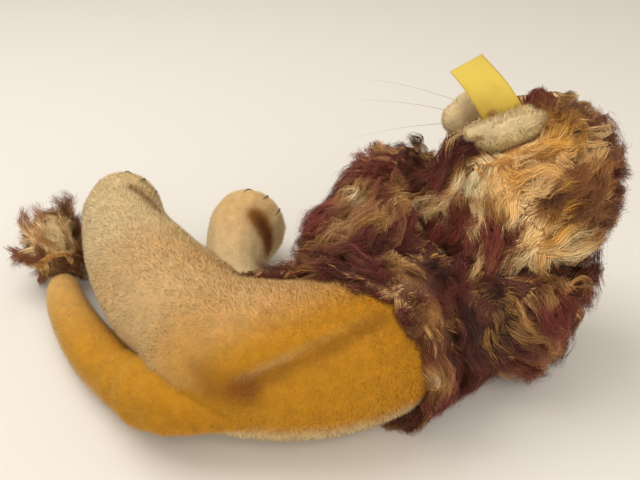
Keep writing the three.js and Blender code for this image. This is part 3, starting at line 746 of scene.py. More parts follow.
def inside(tree, place):
    """Counts the skins that a straight line out of the place goes through: inside if odd."""
    crossings = 0
    here = Vector(place)
    hit = tree.ray_cast(here, PROBE)[0]
    while hit is not None:
        crossings += 1
        hit = tree.ray_cast(hit + PROBE * 0.001 * MM, PROBE)[0]
    return crossings % 2 == 1


def shown(roots, covers):
    """Which roots aren't buried in one of the covering solids, given as a tree and its box."""
    keep = np.ones(len(roots), dtype=bool)
    for tree, low, high in covers:
        close = keep & (roots > low).all(axis=1) & (roots < high).all(axis=1)
        for i in np.nonzero(close)[0]:
            keep[i] = not inside(tree, roots[i])
    return keep


def tree_of(piece):
    places, _ = arrays(piece.data)
    faces = [tuple(face.vertices) for face in piece.data.polygons]
    return BVHTree.FromPolygons([Vector(place) for place in places], faces)


def cover_of(piece):
    """The tree and the box of a piece, for the test of what it buries."""
    places, _ = arrays(piece.data)
    return tree_of(piece), places.min(axis=0), places.max(axis=0)


# %% Ribbons from arrays
def ribbons(name, middles, sides, widths, fields, material, facing):
    """Hairs as ribbons that end in a point. middles, sides and facing are hairs x rows x 3."""
    hairs, rows = middles.shape[0], middles.shape[1]
    left = middles[:, :-1] - sides[:, :-1] * widths[None, :-1, None] / 2
    right = middles[:, :-1] + sides[:, :-1] * widths[None, :-1, None] / 2
    pairs = np.stack([left, right], axis=2).reshape(hairs, -1, 3)
    points = np.concatenate([pairs, middles[:, -1:]], axis=1)
    per_hair = points.shape[1]
    start = (np.arange(hairs) * per_hair)[:, None]
    quads = [[2 * k, 2 * k + 1, 2 * k + 3, 2 * k + 2] for k in range(rows - 2)]
    tip = [per_hair - 3, per_hair - 2, per_hair - 1]
    pattern = np.array([i for face in quads for i in face] + tip)
    loops = (start + pattern[None, :]).ravel()
    sizes = np.tile([4] * len(quads) + [3], hairs)
    mesh = bpy.data.meshes.new(name)
    mesh.vertices.add(hairs * per_hair)
    mesh.vertices.foreach_set("co", points.ravel())
    mesh.loops.add(len(loops))
    mesh.loops.foreach_set("vertex_index", loops.astype(np.int32))
    mesh.polygons.add(len(sizes))
    starts = np.concatenate([[0], np.cumsum(sizes)[:-1]])
    mesh.polygons.foreach_set("loop_start", starts.astype(np.int32))
    mesh.update(calc_edges=True)
    paint(mesh, **{key: spread_out(values, rows).ravel() for key, values in fields.items()})
    lay_out(mesh, hairs, pattern, rows, per_hair)
    mesh.shade_smooth()
    rows_out = np.concatenate([np.repeat(facing[:, :-1], 2, axis=1), facing[:, -1:]], axis=1)
    mesh.normals_split_custom_set_from_vertices(rows_out.reshape(-1, 3))
    return link(name, mesh, material)


def spread_out(values, rows):
    """A value for each hair, or for each row of it, as values for the points of its ribbon."""
    by_row = values if values.ndim == 2 else np.repeat(values[:, None], rows, axis=1)
    return np.concatenate([np.repeat(by_row[:, :-1], 2, axis=1), by_row[:, -1:]], axis=1)


def lay_out(mesh, hairs, pattern, rows, per_hair):
    """Gives each hair a cell of its own in a square, as a map for textures."""
    along = np.array([k // 2 for k in range(per_hair - 1)] + [rows - 1]) / (rows - 1)
    columns = int(math.ceil(math.sqrt(hairs * 2)))
    lines = int(math.ceil(hairs / columns))
    index = np.arange(hairs)
    across = np.array([0.2 if i % 2 == 0 else 0.8 for i in range(per_hair - 1)] + [0.5])
    u = (index[:, None] % columns + across[pattern][None, :]) / columns
    v = (index[:, None] // columns + 0.1 + 0.8 * along[pattern][None, :]) / lines
    layer = mesh.uv_layers.new(name="OFBake")
    layer.data.foreach_set("uv", np.stack([u, v], axis=-1).ravel())


# %% Hairs in pieces of a size that can be handled
MOST_FACES = 180000


def in_pieces(name, middles, sides, widths, fields, material, facing):
    """Hairs dealt out to as many pieces as keep each of them under the most faces."""
    parts = math.ceil(len(middles) * faces_of(middles.shape[1]) / MOST_FACES)
    pieces = []
    for part in range(parts):
        pick = slice(part, None, parts)
        some = {key: values[pick] for key, values in fields.items()}
        piece_name = f"{name}_{part + 1}"
        pieces.append(ribbons(piece_name, middles[pick], sides[pick], widths, some, material, facing[pick]))
    print(name, "hairs:", len(middles), "pieces:", len(pieces))
    return pieces


def faces_of(rows):
    """Triangles in a hair of so many rows: two in each stretch, and one at the tip."""
    return 2 * (rows - 1) - 1


# %% Grow the pile
PILE_WIDTH = 0.2 * MM
ROOT_SINK = 0.2 * MM
STRAYING, TILT_SPREAD, TWIST_SPREAD = 0.6, 0.26, 0.4
LEAST_TILT, MOST_TILT = 0.15, 1.35
SHORTEST, LONGEST = 0.75, 1.15
SKIN_SHARE_OF_FACING = 0.85


def grow_pile(name, skin, dye, comb, per_square_mm, length, lean, seed, covers=()):
    """Short hairs on a skin. comb gives the brushed direction at each root, and lean how far they lie over."""
    draw = np.random.default_rng(seed)
    roots, normals = scatter(skin.data, per_square_mm, draw)
    keep = shown(roots, covers)
    for eye_middle in eye_middles:
        keep &= np.linalg.norm(roots - eye_middle, axis=1) > SOCKET_RADIUS
    roots, normals = roots[keep], normals[keep]
    count = len(roots)
    brushed = flattened(comb(roots) + draw.normal(0, STRAYING, (count, 3)), normals)
    tilt = np.clip(draw.normal(lean, TILT_SPREAD, count), LEAST_TILT, MOST_TILT)[:, None]
    way = unit(normals * np.cos(tilt) + brushed * np.sin(tilt))
    twist = draw.normal(0, TWIST_SPREAD, (count, 1))
    side = unit(np.cross(normals, way))
    side = unit(side * np.cos(twist) + np.cross(way, side) * np.sin(twist))
    blade = np.cross(side, way)
    outward = np.where((blade * normals).sum(axis=1, keepdims=True) < 0, -1.0, 1.0)
    side, blade = side * outward, unit(blade * outward)
    reach = length * draw.uniform(SHORTEST, LONGEST, (count, 1))
    middles = np.stack([roots - normals * ROOT_SINK, roots + way * reach], axis=1)
    sides = np.repeat(side[:, None], 2, axis=1)
    facing = unit(normals * SKIN_SHARE_OF_FACING + blade * (1 - SKIN_SHARE_OF_FACING))
    facing = np.repeat(facing[:, None], 2, axis=1)
    gold, brown = dye(roots, normals)
    fields = {"gold": gold, "brown": brown, "seed": draw.random(count)}
    return in_pieces(name, middles, sides, np.array([PILE_WIDTH, 0.0]), fields, body_pile, facing)


# %% [markdown]
# ## Mane
#
# The mane is long wavy mohair in locks. Each lock follows a guide that leaves the backing, bends over in
# the direction of flow and ends free. Hairs near a guide are drawn in towards it, more at the tip than at
# the root, and small groups of them share a wave. Drawing every hair by itself would give straw, and
# modelling the locks as solid lumps would give clay.

# %% Backings of the mane
MANE_DEPTH = 7 * MM
TUFT_DEPTH = 11 * MM
GAP_UNDER, GAP_BESIDE = 1 * MM, 2 * MM
SHARE_BESIDE = 0.4
EASING_ROUNDS, EASING = 6, 0.5


def make_backing(node, voxel, sink, smooth):
    return make_skin(f"{node}_backing", [(node, 0.0)], backing, voxel, sink, smooth)


backings = {
    "shoulders": make_backing("mane_shoulders", 2.4 * MM, 0.0, 4),
    "head": make_backing("mane_head", 2.0 * MM, 0.0, 4),
    "tuft": make_backing("tail_tuft", 2.0 * MM, TUFT_DEPTH, 6),
}


def draw_in(mesh, depth, under, beside):
    """Moves a backing in by a depth, but not through what is under it, and little beside its neighbour."""
    places, normals = arrays(mesh)
    above = np.maximum(distances(solid_tree(under), places) - GAP_UNDER, 0)
    off = np.maximum(distances(solid_tree(beside), places) - GAP_BESIDE, 0)
    room = np.minimum(np.minimum(depth, above), off * SHARE_BESIDE)
    moved = places - normals * room[:, None]
    for _ in range(EASING_ROUNDS):
        moved += EASING * (neighbour_average(mesh, moved) - moved)
    set_places(mesh, moved)


draw_in(backings["shoulders"].data, MANE_DEPTH, "torso_cover", "mane_head")
draw_in(backings["head"].data, MANE_DEPTH, "head_cover", "mane_shoulders")

# %% Body pile, where nothing covers it
DENSITY = 10.0
PILE_LENGTH, HEAD_PILE_LENGTH = 2.5 * MM, 1.8 * MM
PILE_LEAN = 0.8

mane_covers = [cover_of(backing_piece) for backing_piece in backings.values()]
torso_cover = cover_of(skins["body_skin"])
nose_place = middle_of("nose_stitching")


def combed(direction):
    return lambda roots: np.repeat(np.array([direction]), len(roots), axis=0)


def skin_pile(skin_name, comb, seed, covers, length=PILE_LENGTH):
    skin, dye = skins[skin_name], dyes_and_painted_light[skin_name]
    return grow_pile(f"{skin_name}_pile", skin, dye, comb, DENSITY, length, PILE_LEAN, seed, covers)


along_paws = combed((0.1, 0.9, -0.2))
body_pieces = [
    *skin_pile("body_skin", combed((-0.6, -0.5, -0.35)), 11, mane_covers),
    *skin_pile("hind_leg_right", combed((-0.2, 0.9, -0.2)), 12, [torso_cover]),
    *skin_pile("tail", combed((-0.7, 0.7, -0.1)), 13, [torso_cover, *mane_covers]),
    *skin_pile("front_leg_left", along_paws, 14, [torso_cover, *mane_covers]),
    *skin_pile("front_leg_right", along_paws, 15, [torso_cover, *mane_covers]),
]
head_pieces = skin_pile("head", lambda roots: roots - nose_place, 16, mane_covers, HEAD_PILE_LENGTH)


# %% Guides of the locks
STRAND_STEPS = 6
SWIRL = 1.5
SWIRLS_PER_METRE = 42


def grow_guides(piece, roots, normals, flow, length, lift, draw):
    """Paths that leave the backing, bend over into the flow and then follow the surface."""
    tree = tree_of(piece)
    paths = [roots]
    here = roots.copy()
    facing = normals.copy()
    wander = draw.normal(0, 1, (len(roots), 3))
    for step in range(STRAND_STEPS):
        share = (step + 0.5) / STRAND_STEPS
        rise = lift * (1 - 1.25 * share) + wander[:, 0] * 0.3
        way = unit(swirled(flow(here, facing), facing, here) + wander * 0.25 + facing * rise[:, None])
        here = here + way * (length / STRAND_STEPS)[:, None]
        paths.append(here)
        found = np.array([tree.find_nearest(Vector(place))[1] for place in here])
        facing = unit(facing + found)
    return np.stack(paths, axis=1)


def mottle(points, per_metre, shift):
    """A slow noise about 0 to 1 at each point."""
    moved = Vector((shift, 0, 0))
    return np.array([0.5 + 0.5 * noise.noise(Vector(p) * per_metre + moved) for p in points])


def swirled(ways, facing, points):
    """Turns each direction about the surface's normal, one way here and the other way there."""
    angle = SWIRL * (mottle(points, SWIRLS_PER_METRE, 7.0) * 2 - 1)[:, None]
    return ways * np.cos(angle) + np.cross(facing, ways) * np.sin(angle)


def nearest(points, centres):
    tree = KDTree(len(centres))
    for i, centre in enumerate(centres):
        tree.insert(Vector(centre), i)
    tree.balance()
    return np.array([tree.find(Vector(point))[1] for point in points])


def even_pick(roots, normals, spacing):
    """Thins scattered roots to one in each cell of a lattice."""
    cells = np.floor(roots / spacing).astype(int)
    _, first = np.unique(cells, axis=0, return_index=True)
    return roots[first], normals[first]


# %% Locks
LOCK_SPACING = 8 * MM
WISP_SPACING = 3.4 * MM
MANE_LOFT = 3.0 * MM
TUFT_LOFT = 6.0 * MM
MANE_TUCKS = (
    # x, y, z and radius in mm, and how much lower the hair lies there
    (48, -84, 8, 20, 13),
    (15, 22, 67, 20, 6),
    (134, -46, 24, 16, 9),
    (108, -18, 130, 13, -5),
    (75, -19, 116, 9, -6),
)
BARE_TUCK = 8 * MM
SHARES = np.linspace(0, 1, STRAND_STEPS + 1)[None, :, None]


def grow_locks(
    name, piece, solids, loft, flow, tone, per_square_mm, length, lift, seed, covers=(), beside=()
):
    """Locks of long hair: guides, then wisps that gather at the guides, then hairs that gather at those."""
    draw = np.random.default_rng(seed)
    mesh = piece.data
    spread_roots, spread_normals = scatter(mesh, 2.0, draw)
    guide_roots, guide_normals = even_pick(spread_roots, spread_normals, LOCK_SPACING)
    reach = length * draw.uniform(0.7, 1.15, len(guide_roots))
    rise = lift * draw.uniform(0.5, 1.5, len(guide_roots))
    guides = grow_guides(piece, guide_roots, guide_normals, flow, reach, rise, draw)
    guides += wave(guides, draw, 1.6 * MM, 0.8)

    wisp_roots, _ = even_pick(spread_roots, spread_normals, WISP_SPACING)
    lock = nearest(wisp_roots, guide_roots)
    offset = (wisp_roots - guide_roots[lock])[:, None]
    stretch = draw.uniform(0.65, 1.15, (len(wisp_roots), 1, 1))
    drift = draw.normal(0, 2.8 * MM, (len(wisp_roots), 1, 3)) * SHARES**1.3
    way = (guides[lock] - guides[lock][:, :1]) * stretch
    wisps = wisp_roots[:, None] + way - offset * 0.5 * SHARES + drift
    wisps += wave(wisps, draw, 1.8 * MM, 1.6)
    wisps = settled(wisps, [solid_tree(solid) for solid in solids], loft, draw)

    roots, normals = scatter(mesh, per_square_mm, draw)
    keep = shown(roots, covers) & (tuck_depth(roots) < BARE_TUCK)
    for name_beside, gap in beside:
        keep &= distances(solid_tree(name_beside), roots) > gap
    roots, normals = roots[keep], normals[keep]
    wisp = nearest(roots, wisp_roots)
    offset = (roots - wisp_roots[wisp])[:, None]
    stretch = draw.uniform(0.75, 1.1, (len(roots), 1, 1))
    fuzz = draw.normal(0, 1.1 * MM, (len(roots), 1, 3)) * SHARES
    way = (wisps[wisp] - wisps[wisp][:, :1]) * stretch
    middles = roots[:, None] + way - offset * 0.6 * SHARES**1.2 + fuzz
    middles += wave(middles, draw, 0.6 * MM, 1.8)
    middles[:, :, 2] = np.maximum(middles[:, :, 2], 0.3 * MM)
    fields = tone(middles, wisp_roots, wisp, draw)
    return lock_pieces(name, middles, normals, fields, draw)


def tuck_depth(points):
    """How much lower the hair lies at points, or higher where it is below zero."""
    depths = np.zeros(points.shape[:-1])
    for x, y, z, radius, depth in MANE_TUCKS:
        gap = np.linalg.norm(points - np.array([x, y, z]) * MM, axis=-1) / (radius * MM)
        depths += depth * MM * np.exp(-(gap**2))
    return depths


def settled(paths, solids, loft, draw):
    """Draws what stands out of the solids back to a loft over them, except for the tucks."""
    lofts = loft * draw.uniform(0.5, 1.7, len(paths))
    tucked = tuck_depth(paths)
    out = paths.copy()
    for i, path in enumerate(paths):
        for k, place in enumerate(path[1:], start=1):
            hits = [tree.find_nearest(Vector(place)) for tree in solids]
            found, normal, _, gap = min(hits, key=lambda hit: hit[3])
            away = Vector(place) - found
            sign = 1 if away.dot(normal) > 0 else -1
            over = sign * gap + tucked[i, k]
            if over > 0 and gap > 0:
                lower = over - lofts[i] * (1 - math.exp(-over / lofts[i]))
                out[i, k] = Vector(place) - away * (sign * lower / gap)
    return out


def wave(paths, draw, height, turns):
    """A sideways wave along each path, with a phase and a plane of its own."""
    along = unit(paths[:, -1] - paths[:, 0])
    first = unit(np.cross(along, draw.normal(0, 1, along.shape)))
    second = np.cross(along, first)
    phase = draw.uniform(0, 2 * math.pi, (len(paths), 1, 1))
    turn = 2 * math.pi * turns * SHARES + phase
    swing = np.sin(turn) * first[:, None] + 0.6 * np.cos(turn) * second[:, None]
    return height * np.minimum(SHARES * 1.5, 1) * swing


HAIR_WIDTH = 0.28 * MM
HAIR_TAPER = 0.7
BLADE_SHARE = 0.62


def lock_pieces(name, middles, normals, fields, draw):
    steps = unit(np.diff(middles, axis=1))
    along = np.concatenate([steps, steps[:, -1:]], axis=1)
    twist = unit(normals + draw.normal(0, 0.5, normals.shape))[:, None]
    sides = unit(np.cross(along, twist))
    widths = HAIR_WIDTH * (1 - HAIR_TAPER * SHARES[0, :, 0])
    blades = np.cross(sides, along)
    upright = np.where((blades * normals[:, None]).sum(axis=2, keepdims=True) < 0, -1.0, 1.0)
    facing = unit(blades * BLADE_SHARE + upright * normals[:, None] * (1 - BLADE_SHARE))
    return in_pieces(name, middles, sides, widths, fields, mane_mohair, facing)


# %% [markdown]
# The hair of the head parts along the seam that runs down the back of the head, and flows away from it on
# both sides. Round the face it lies back. On the shoulders it falls outwards and down.

# %% Flow of the mane
HEAD_MIDDLE = np.array([0.109, -0.010, 0.088])
HEAD_OUT = 44 * MM


def on_head(azimuth, elevation, out=HEAD_OUT):
    """A place on the ball of the head, by its compass angle and its height angle in degrees."""
    a, e = math.radians(azimuth), math.radians(elevation)
    return HEAD_MIDDLE + out * np.array([math.cos(e) * math.cos(a), math.cos(e) * math.sin(a), math.sin(e)])


parting = [on_head(*angles) for angles in ((-118, 50), (-119, 25), (-111, 8), (-92, -6), (-84, -30))]
face_way = unit(nose_place - HEAD_MIDDLE)
neck_middle = np.array([0.094, -0.016, 0.04])


def head_flow(points, normals):
    from_parting = flattened(points - nearest_on_line(points, parting)[0], normals)
    radial = unit(points - HEAD_MIDDLE)
    laid_back = flattened(-face_way[None, :] + radial * 0.3, normals)
    share = smooth_step(radial @ face_way, -0.1, 0.45)[:, None]
    return unit(from_parting * (1 - share) + laid_back * share + np.array([0, 0, -0.2]))


def shoulder_flow(points, normals):
    away = points - neck_middle
    away[:, 2] = 0
    fall = np.array([0, 0, -0.8])
    return flattened(unit(away) + fall, normals)


tail_tip = place_in("tail_cover", 0.05, 0.97, 0.5)


def tuft_flow(points, normals):
    return flattened(points - tail_tip + np.array([-8, 6, 0]) * MM, normals)


# %% [markdown]
# The dye of the mane is patchy. Where the hair parts, the undyed cream and orange roots show, and
# elsewhere the red-brown tips lie over them. So the dye of each point of a hair comes from how far along
# the hair it is, and from patches on the head and the shoulders where it shows more, or less, of the
# roots. One patch on the tail's tuft darkens the tips behind the leg as painted shadow.

# %% Tones of the mane
HEAD_PATCHES = (
    # azimuth, elevation, radius in mm, shown root, orange, dark
    (-120, 25, 12, 1.0, 1.0, 0.0),
    (-111, 9, 9, 1.0, 1.0, 0.0),
    (-90, -6, 9, 0.9, 1.0, 0.0),
    (-84, -31, 9, 0.8, 0.6, 0.0),
    (-135, 28, 10, 1.0, 0.1, 0.0),
    (-141, 12, 9, 0.9, 0.05, 0.0),
    (-121, 42, 8, 0.8, 0.1, 0.0),
    (-63, -22, 14, 0.9, 0.15, 0.0),
    (-79, 63, 12, 0.6, 0.6, 0.0),
    (-87, 41, 11, 0.7, 0.7, 0.0),
    (-67, 62, 6, 0.0, 0.3, 0.6),
    (-55, 50, 12, 0.45, 0.6, 0.0),
    (-45, 8, 10, 0.3, 0.4, 0.0),
    (-68, 18, 13, 0.45, 0.8, 0.3),
    (-81, 11, 8, 0.3, 0.8, 0.4),
    (-43, 27, 9, 0.4, 0.5, 0.0),
    (-145, 35, 9, -0.7, 0.0, 0.3),
    (-122, 43, 6, -0.7, 0.0, 0.2),
)
SHOULDER_PATCHES = (
    # three shares of the box of the shoulder mane, radius in mm, shown root, orange, dark
    (0.53, 0.73, 0.70, 12, 0.9, 0.35, 0.0),
    (0.44, 0.25, 0.74, 9, 0.8, 0.4, 0.0),
    (0.32, 0.56, 0.83, 10, 0.9, 0.1, 0.0),
    (0.28, 0.45, 0.73, 8, 0.7, 0.1, 0.0),
    (0.40, 0.10, 0.72, 5, 0.7, 0.1, 0.0),
    (0.75, 0.19, 0.46, 7, 0.7, 0.2, 0.0),
    (0.52, 0.01, 0.35, 7, 0.9, 0.1, 0.0),
    (0.52, 0.09, 0.61, 9, 0.6, 1.0, 0.0),
    (0.30, 0.25, 0.76, 12, 0.0, 0.0, 0.8),
    (0.66, 0.22, 0.49, 14, 0.0, 0.0, 0.8),
    (0.62, 0.15, 0.44, 12, 0.0, 0.0, 0.8),
    (0.54, 0.28, 0.68, 9, -0.3, 0.0, 0.9),
    (0.45, 0.52, 0.90, 9, 0.5, 0.3, 0.0),
)
head_patches = [(on_head(a, e), radius * MM, *rest) for a, e, radius, *rest in HEAD_PATCHES]
shoulder_patches = [
    (place_in("mane_shoulders", x, y, z), radius * MM, *rest) for x, y, z, radius, *rest in SHOULDER_PATCHES
]


def patch_sums(points, patches):
    """How much the patches show the root, turn it orange, and darken the tips, at hairs x rows points."""
    flat = points.reshape(-1, 3)
    total = np.zeros((3, len(flat)))
    for centre, radius, *amounts in patches:
        total += np.outer(amounts, soft_spot(flat, centre, radius))
    return total.reshape(3, *points.shape[:2])


def mane_tone(patches, first_dye, spread, ground=0.0, deepest=1.0, darkness=0.25):
    def tone(middles, wisp_roots, wisp, draw):
        slow = mottle(wisp_roots, 38, 3.0)[wisp][:, None]
        quick = mottle(wisp_roots, 110, 11.0)[wisp][:, None]
        root, orange, dark = patch_sums(middles, patches)
        start = first_dye + spread * (slow - 0.5) + 0.5 * (quick - 0.5)
        start = start + draw.normal(0, 0.12, (len(middles), 1))
        golden = smooth_step(mottle(wisp_roots, 95, 19.0)[wisp][:, None], 0.56, 0.72)
        dye = smooth_step(SHARES[:, :, 0], start, start + 0.4) * (1 - 0.7 * golden)
        dye = deepest * (ground + (1 - ground) * dye) * (1 - 0.9 * np.clip(root, 0, 1))
        return {
            "dye": np.clip(dye + np.clip(-root, 0, 1) + dark * 0.5, 0, 1),
            "warm": np.clip(0.3 + 0.8 * orange + 0.8 * (quick - 0.5) - 0.25 * root, 0, 1),
            "dark": np.clip(darkness + 1.4 * (slow - 0.5) + 0.5 * (quick - 0.5) + dark, 0, 1),
            "seed": draw.random(len(middles)),
        }

    return tone


tuft_patches = [
    (place_in("tail_tuft", 0.6, 0.05, 0.3), 14 * MM, 0.5, 0.8, 0.0),
    (place_in("tail_tuft", 0.65, 0.3, 0.9), 15 * MM, 0.9, 0.1, 0.0),
    # This patch darkens the tips on the right, behind the leg, as painted shadow.
    (place_in("tail_tuft", 0.95, 0.2, 0.5), 12 * MM, 0.0, 0.0, 0.9),
]


# %% Dye of the backings
def dye_backing(piece, patches, first):
    places, _ = arrays(piece.data)
    root, _, _ = patch_sums(places[:, None], patches)
    paint(piece.data, dye=np.clip(first - root[:, 0], 0, 1))


dye_backing(backings["head"], head_patches, 0.9)
dye_backing(backings["shoulders"], shoulder_patches, 1.0)
dye_backing(backings["tuft"], tuft_patches, 0.35)

# %% Grow the mane
locks_head = grow_locks(
    "mane_head_locks",
    backings["head"],
    ["mane_head", "mane_shoulders"],
    MANE_LOFT,
    head_flow,
    mane_tone(head_patches, 0.0, 0.5),
    4.4,
    20 * MM,
    0.8,
    31,
    beside=[("mane_shoulders", 1.0 * MM), ("ear_left_back", 3 * MM), ("ear_right_back", 3 * MM)],
)
locks_shoulders = grow_locks(
    "mane_shoulders_locks",
    backings["shoulders"],
    ["mane_shoulders", "mane_head"],
    MANE_LOFT,
    shoulder_flow,
    mane_tone(shoulder_patches, -0.05, 0.7, 0.25),
    3.4,
    21 * MM,
    0.8,
    32,
    [torso_cover],
    [("mane_head", 1.0 * MM)],
)
locks_tuft = grow_locks(
    "tail_tuft_locks",
    backings["tuft"],
    ["tail_tuft"],
    TUFT_LOFT,
    tuft_flow,
    mane_tone(tuft_patches, 0.2, 0.3, 0.1, 0.8, -0.2),
    4.2,
    21 * MM,
    1.0,
    33,
)

# %% Pull the backing in under the lowest corner of the mane
CORNER = np.array([47, -86, 9]) * MM
CORNER_RADIUS, CORNER_PULL = 17 * MM, 12 * MM
CORNER_INWARD = unit(np.array([0.6, 0.64, 0.5]))
places, _ = arrays(backings["shoulders"].data)
pull = CORNER_PULL * soft_spot(places, CORNER, CORNER_RADIUS)
set_places(backings["shoulders"].data, places + np.outer(pull, CORNER_INWARD))
print("pulled in by up to", CORNER_PULL / MM, "mm")

# %% [markdown]
# ## Ears, label and face
#
# The ears are small cupped bags of the same cloth. Each has two padded rims with a crease between them. The
# padding of the right ear is the left one's mirrored in the middle plane of the head, but the crease is
# drawn in and its seam darkened only on the left ear.

# %% Ears
EAR_PILE_LENGTH, EAR_DENSITY, EAR_LEAN = 2.4 * MM, 14.0, 0.6
FIRST_EAR_SEED = 40
EAR_LOBES = {
    # x, y, z and radius in mm of the padding in each rim of the left ear
    "front": [
        (83.3, -25.4, 127.5, 2.8),
        (88.8, -23.2, 129.8, 3.3),
        (94.9, -20.8, 131.0, 3.4),
        (101.0, -19.1, 130.6, 3.4),
        (105.8, -18.7, 128.0, 2.9),
    ],
    "back": [
        (77.9, -31.5, 119.7, 2.2),
        (83.6, -30.9, 120.8, 2.7),
        (89.9, -29.0, 122.3, 2.8),
        (96.4, -26.8, 124.2, 2.8),
        (102.7, -24.0, 125.4, 2.6),
    ],
}
EAR_LOBE_STEPS = 4


def lobe_balls(layer, side_name):
    """Balls of padding along the rim of an ear."""
    rows = np.array(EAR_LOBES[layer])
    balls = []
    for start, end in zip(rows[:-1], rows[1:]):
        for step in range(EAR_LOBE_STEPS + 1):
            x, y, z, radius = start + (end - start) * step / EAR_LOBE_STEPS
            place = np.array([x, y, z]) * MM
            if side_name == "right":
                place = mirrored(place, "ear_left_back", "ear_right_back")
            balls.append((tuple(place), radius * MM))
    return balls


EAR_SEAM_WIDTH = 5.0 * MM
EAR_SEAM_DEPTH = 1.4 * MM
EAR_OUTWARD = np.array([0.0, -0.8, 1.2]) * MM
RIM_REACHES = (3.4 * MM, 2.8 * MM)
rims = [np.array(EAR_LOBES[layer])[:, :3] * MM for layer in ("front", "back")]
ear_seam = [(front + back) / 2 + EAR_OUTWARD for front, back in zip(*rims)]


def ear_crease(points):
    """High between the two rims of the left ear, where neither of them reaches."""
    covered = np.maximum(*(stroke(points, rim, reach) for rim, reach in zip(rims, RIM_REACHES)))
    return (1 - smooth_step(covered, 0.2, 0.42)) * stroke(points, ear_seam, EAR_SEAM_WIDTH)


def ear_dye(points, normals):
    return np.full(len(points), 0.06), 0.9 * ear_crease(points)


ear_pieces = []
for side_name in ("left", "right"):
    for layer in ("back", "front"):
        node = f"ear_{side_name}_{layer}"
        balls = lobe_balls(layer, side_name)
        skin = make_skin(f"{node}_skin", [(node, 0.0)], body_pile, 0.7 * MM, 0.2 * MM, 4, balls)
        places, normals = arrays(skin.data)
        set_places(skin.data, places - normals * EAR_SEAM_DEPTH * ear_crease(places)[:, None])
        gold, brown = ear_dye(places, normals)
        paint(skin.data, gold=gold, brown=brown, seed=np.full(len(places), 0.5))
        seed = FIRST_EAR_SEED + len(ear_pieces)
        comb = combed(unit(middle_of(node) - HEAD_MIDDLE))
        hairs = grow_pile(f"{node}_pile", skin, ear_dye, comb, EAR_DENSITY, EAR_PILE_LENGTH, EAR_LEAN, seed)
        ear_pieces.append((node, skin, hairs))

# %% [markdown]
# The label is a strip of yellow cloth. One end is sewn into the ear and the other curls over, more on its
# right side, so it is laid out as rows of points that turn a little further at each row. It stays bare.

# %% Label
LABEL_WIDTH = 17 * MM
LABEL_LENGTH = 34 * MM
LABEL_THICKNESS = 0.4 * MM
LABEL_CURL = math.radians(54)
LABEL_ROWS, LABEL_COLUMNS = 28, 12
LABEL_CURL_FROM, LABEL_CURL_TO, LABEL_SKEW = 0.35, 1.0, 0.3
label_left = np.array([0.0890, -0.0228, 0.1152])
label_across = unit(np.array([0.82, 0.214, 0.52]))
label_up = unit(np.array([-0.71, 0.0, 0.70]))


def make_label():
    across = label_across
    up = unit(label_up - (label_up @ across) * across)
    over = np.cross(across, up)
    over *= 1 if over[1] > 0 else -1
    points, faces = [], []
    for column in range(LABEL_COLUMNS + 1):
        share = column / LABEL_COLUMNS
        here = label_left + across * LABEL_WIDTH * share
        for row in range(LABEL_ROWS + 1):
            points.append(tuple(here))
            height = (row + 0.5) / LABEL_ROWS
            skew = LABEL_SKEW * share
            bend = smooth_step(np.array(height), LABEL_CURL_FROM - skew, LABEL_CURL_TO - skew)
            turn = LABEL_CURL * float(bend)
            here = here + (up * math.cos(turn) + over * math.sin(turn)) * LABEL_LENGTH / LABEL_ROWS
    for column in range(LABEL_COLUMNS):
        for row in range(LABEL_ROWS):
            first = column * (LABEL_ROWS + 1) + row
            faces.append((first, first + LABEL_ROWS + 1, first + LABEL_ROWS + 2, first + 1))
    mesh = bpy.data.meshes.new("ear_label_cloth")
    mesh.from_pydata(points, [], faces)
    piece = link("ear_label_cloth", mesh, yellow_cloth)
    shell = piece.modifiers.new("thickness", "SOLIDIFY")
    shell.thickness = LABEL_THICKNESS
    shell.offset = 0
    mesh = applied(piece)
    mesh.shade_smooth()
    return piece


label = make_label()
print("label faces:", len(label.data.polygons))

# %% [markdown]
# The whiskers are single stiff threads, thinner than the solids that stand for them, and they droop a
# little towards their ends. A curve with a thin round bevel gives each of them its taper.

# %% Threads
def main_ways(node):
    """A solid's points, their middle, and its own axes from the shortest to the longest."""
    points = np.array([tuple(p) for p in welded(node)[0]])
    middle = points.mean(axis=0)
    _, ways = np.linalg.eigh(np.cov((points - middle).T))
    return points, middle, ways


def make_thread(name, rows, radius, rounding, material):
    """A round thread through rows of places, each with its share of the thickness."""
    curve = bpy.data.curves.new(name, "CURVE")
    curve.dimensions = "3D"
    curve.bevel_depth = radius
    curve.bevel_resolution = rounding
    spline = curve.splines.new("POLY")
    spline.points.add(len(rows) - 1)
    for point, (place, share) in zip(spline.points, rows):
        point.co = (*place, 1)
        point.radius = share
    return link(name, curve, material)


# %% Whiskers
WHISKER_RADIUS = 0.16 * MM
WHISKER_DROOP = 3.5 * MM
WHISKER_POINTS = 12
WHISKER_TAPER = 0.75


def make_whisker(node):
    points, middle, ways = main_ways(node)
    along = ways[:, 2]
    reach = (points - middle) @ along
    ends = [middle + along * reach.min(), middle + along * reach.max()]
    ends.sort(key=lambda end: np.linalg.norm(end - HEAD_MIDDLE))
    rows = []
    for i in range(WHISKER_POINTS):
        share = i / (WHISKER_POINTS - 1)
        place = ends[0] * (1 - share) + ends[1] * share
        place[2] += WHISKER_DROOP * (1.2 * share * (1 - share) - 0.6 * share**3)
        rows.append((place, 1 - WHISKER_TAPER * share))
    return make_thread(f"{node}_thread", rows, WHISKER_RADIUS, 1, whisker_thread)


whiskers = {name: make_whisker(name) for name in nodes if name.startswith("whisker")}
print("whiskers:", len(whiskers))

# %% [markdown]
# The eyes are domes of glass, pushed into the cover on a wire. A smooth dome takes the place of each
# faceted one, with its pupil and its dark rim dyed by the distance from its middle.

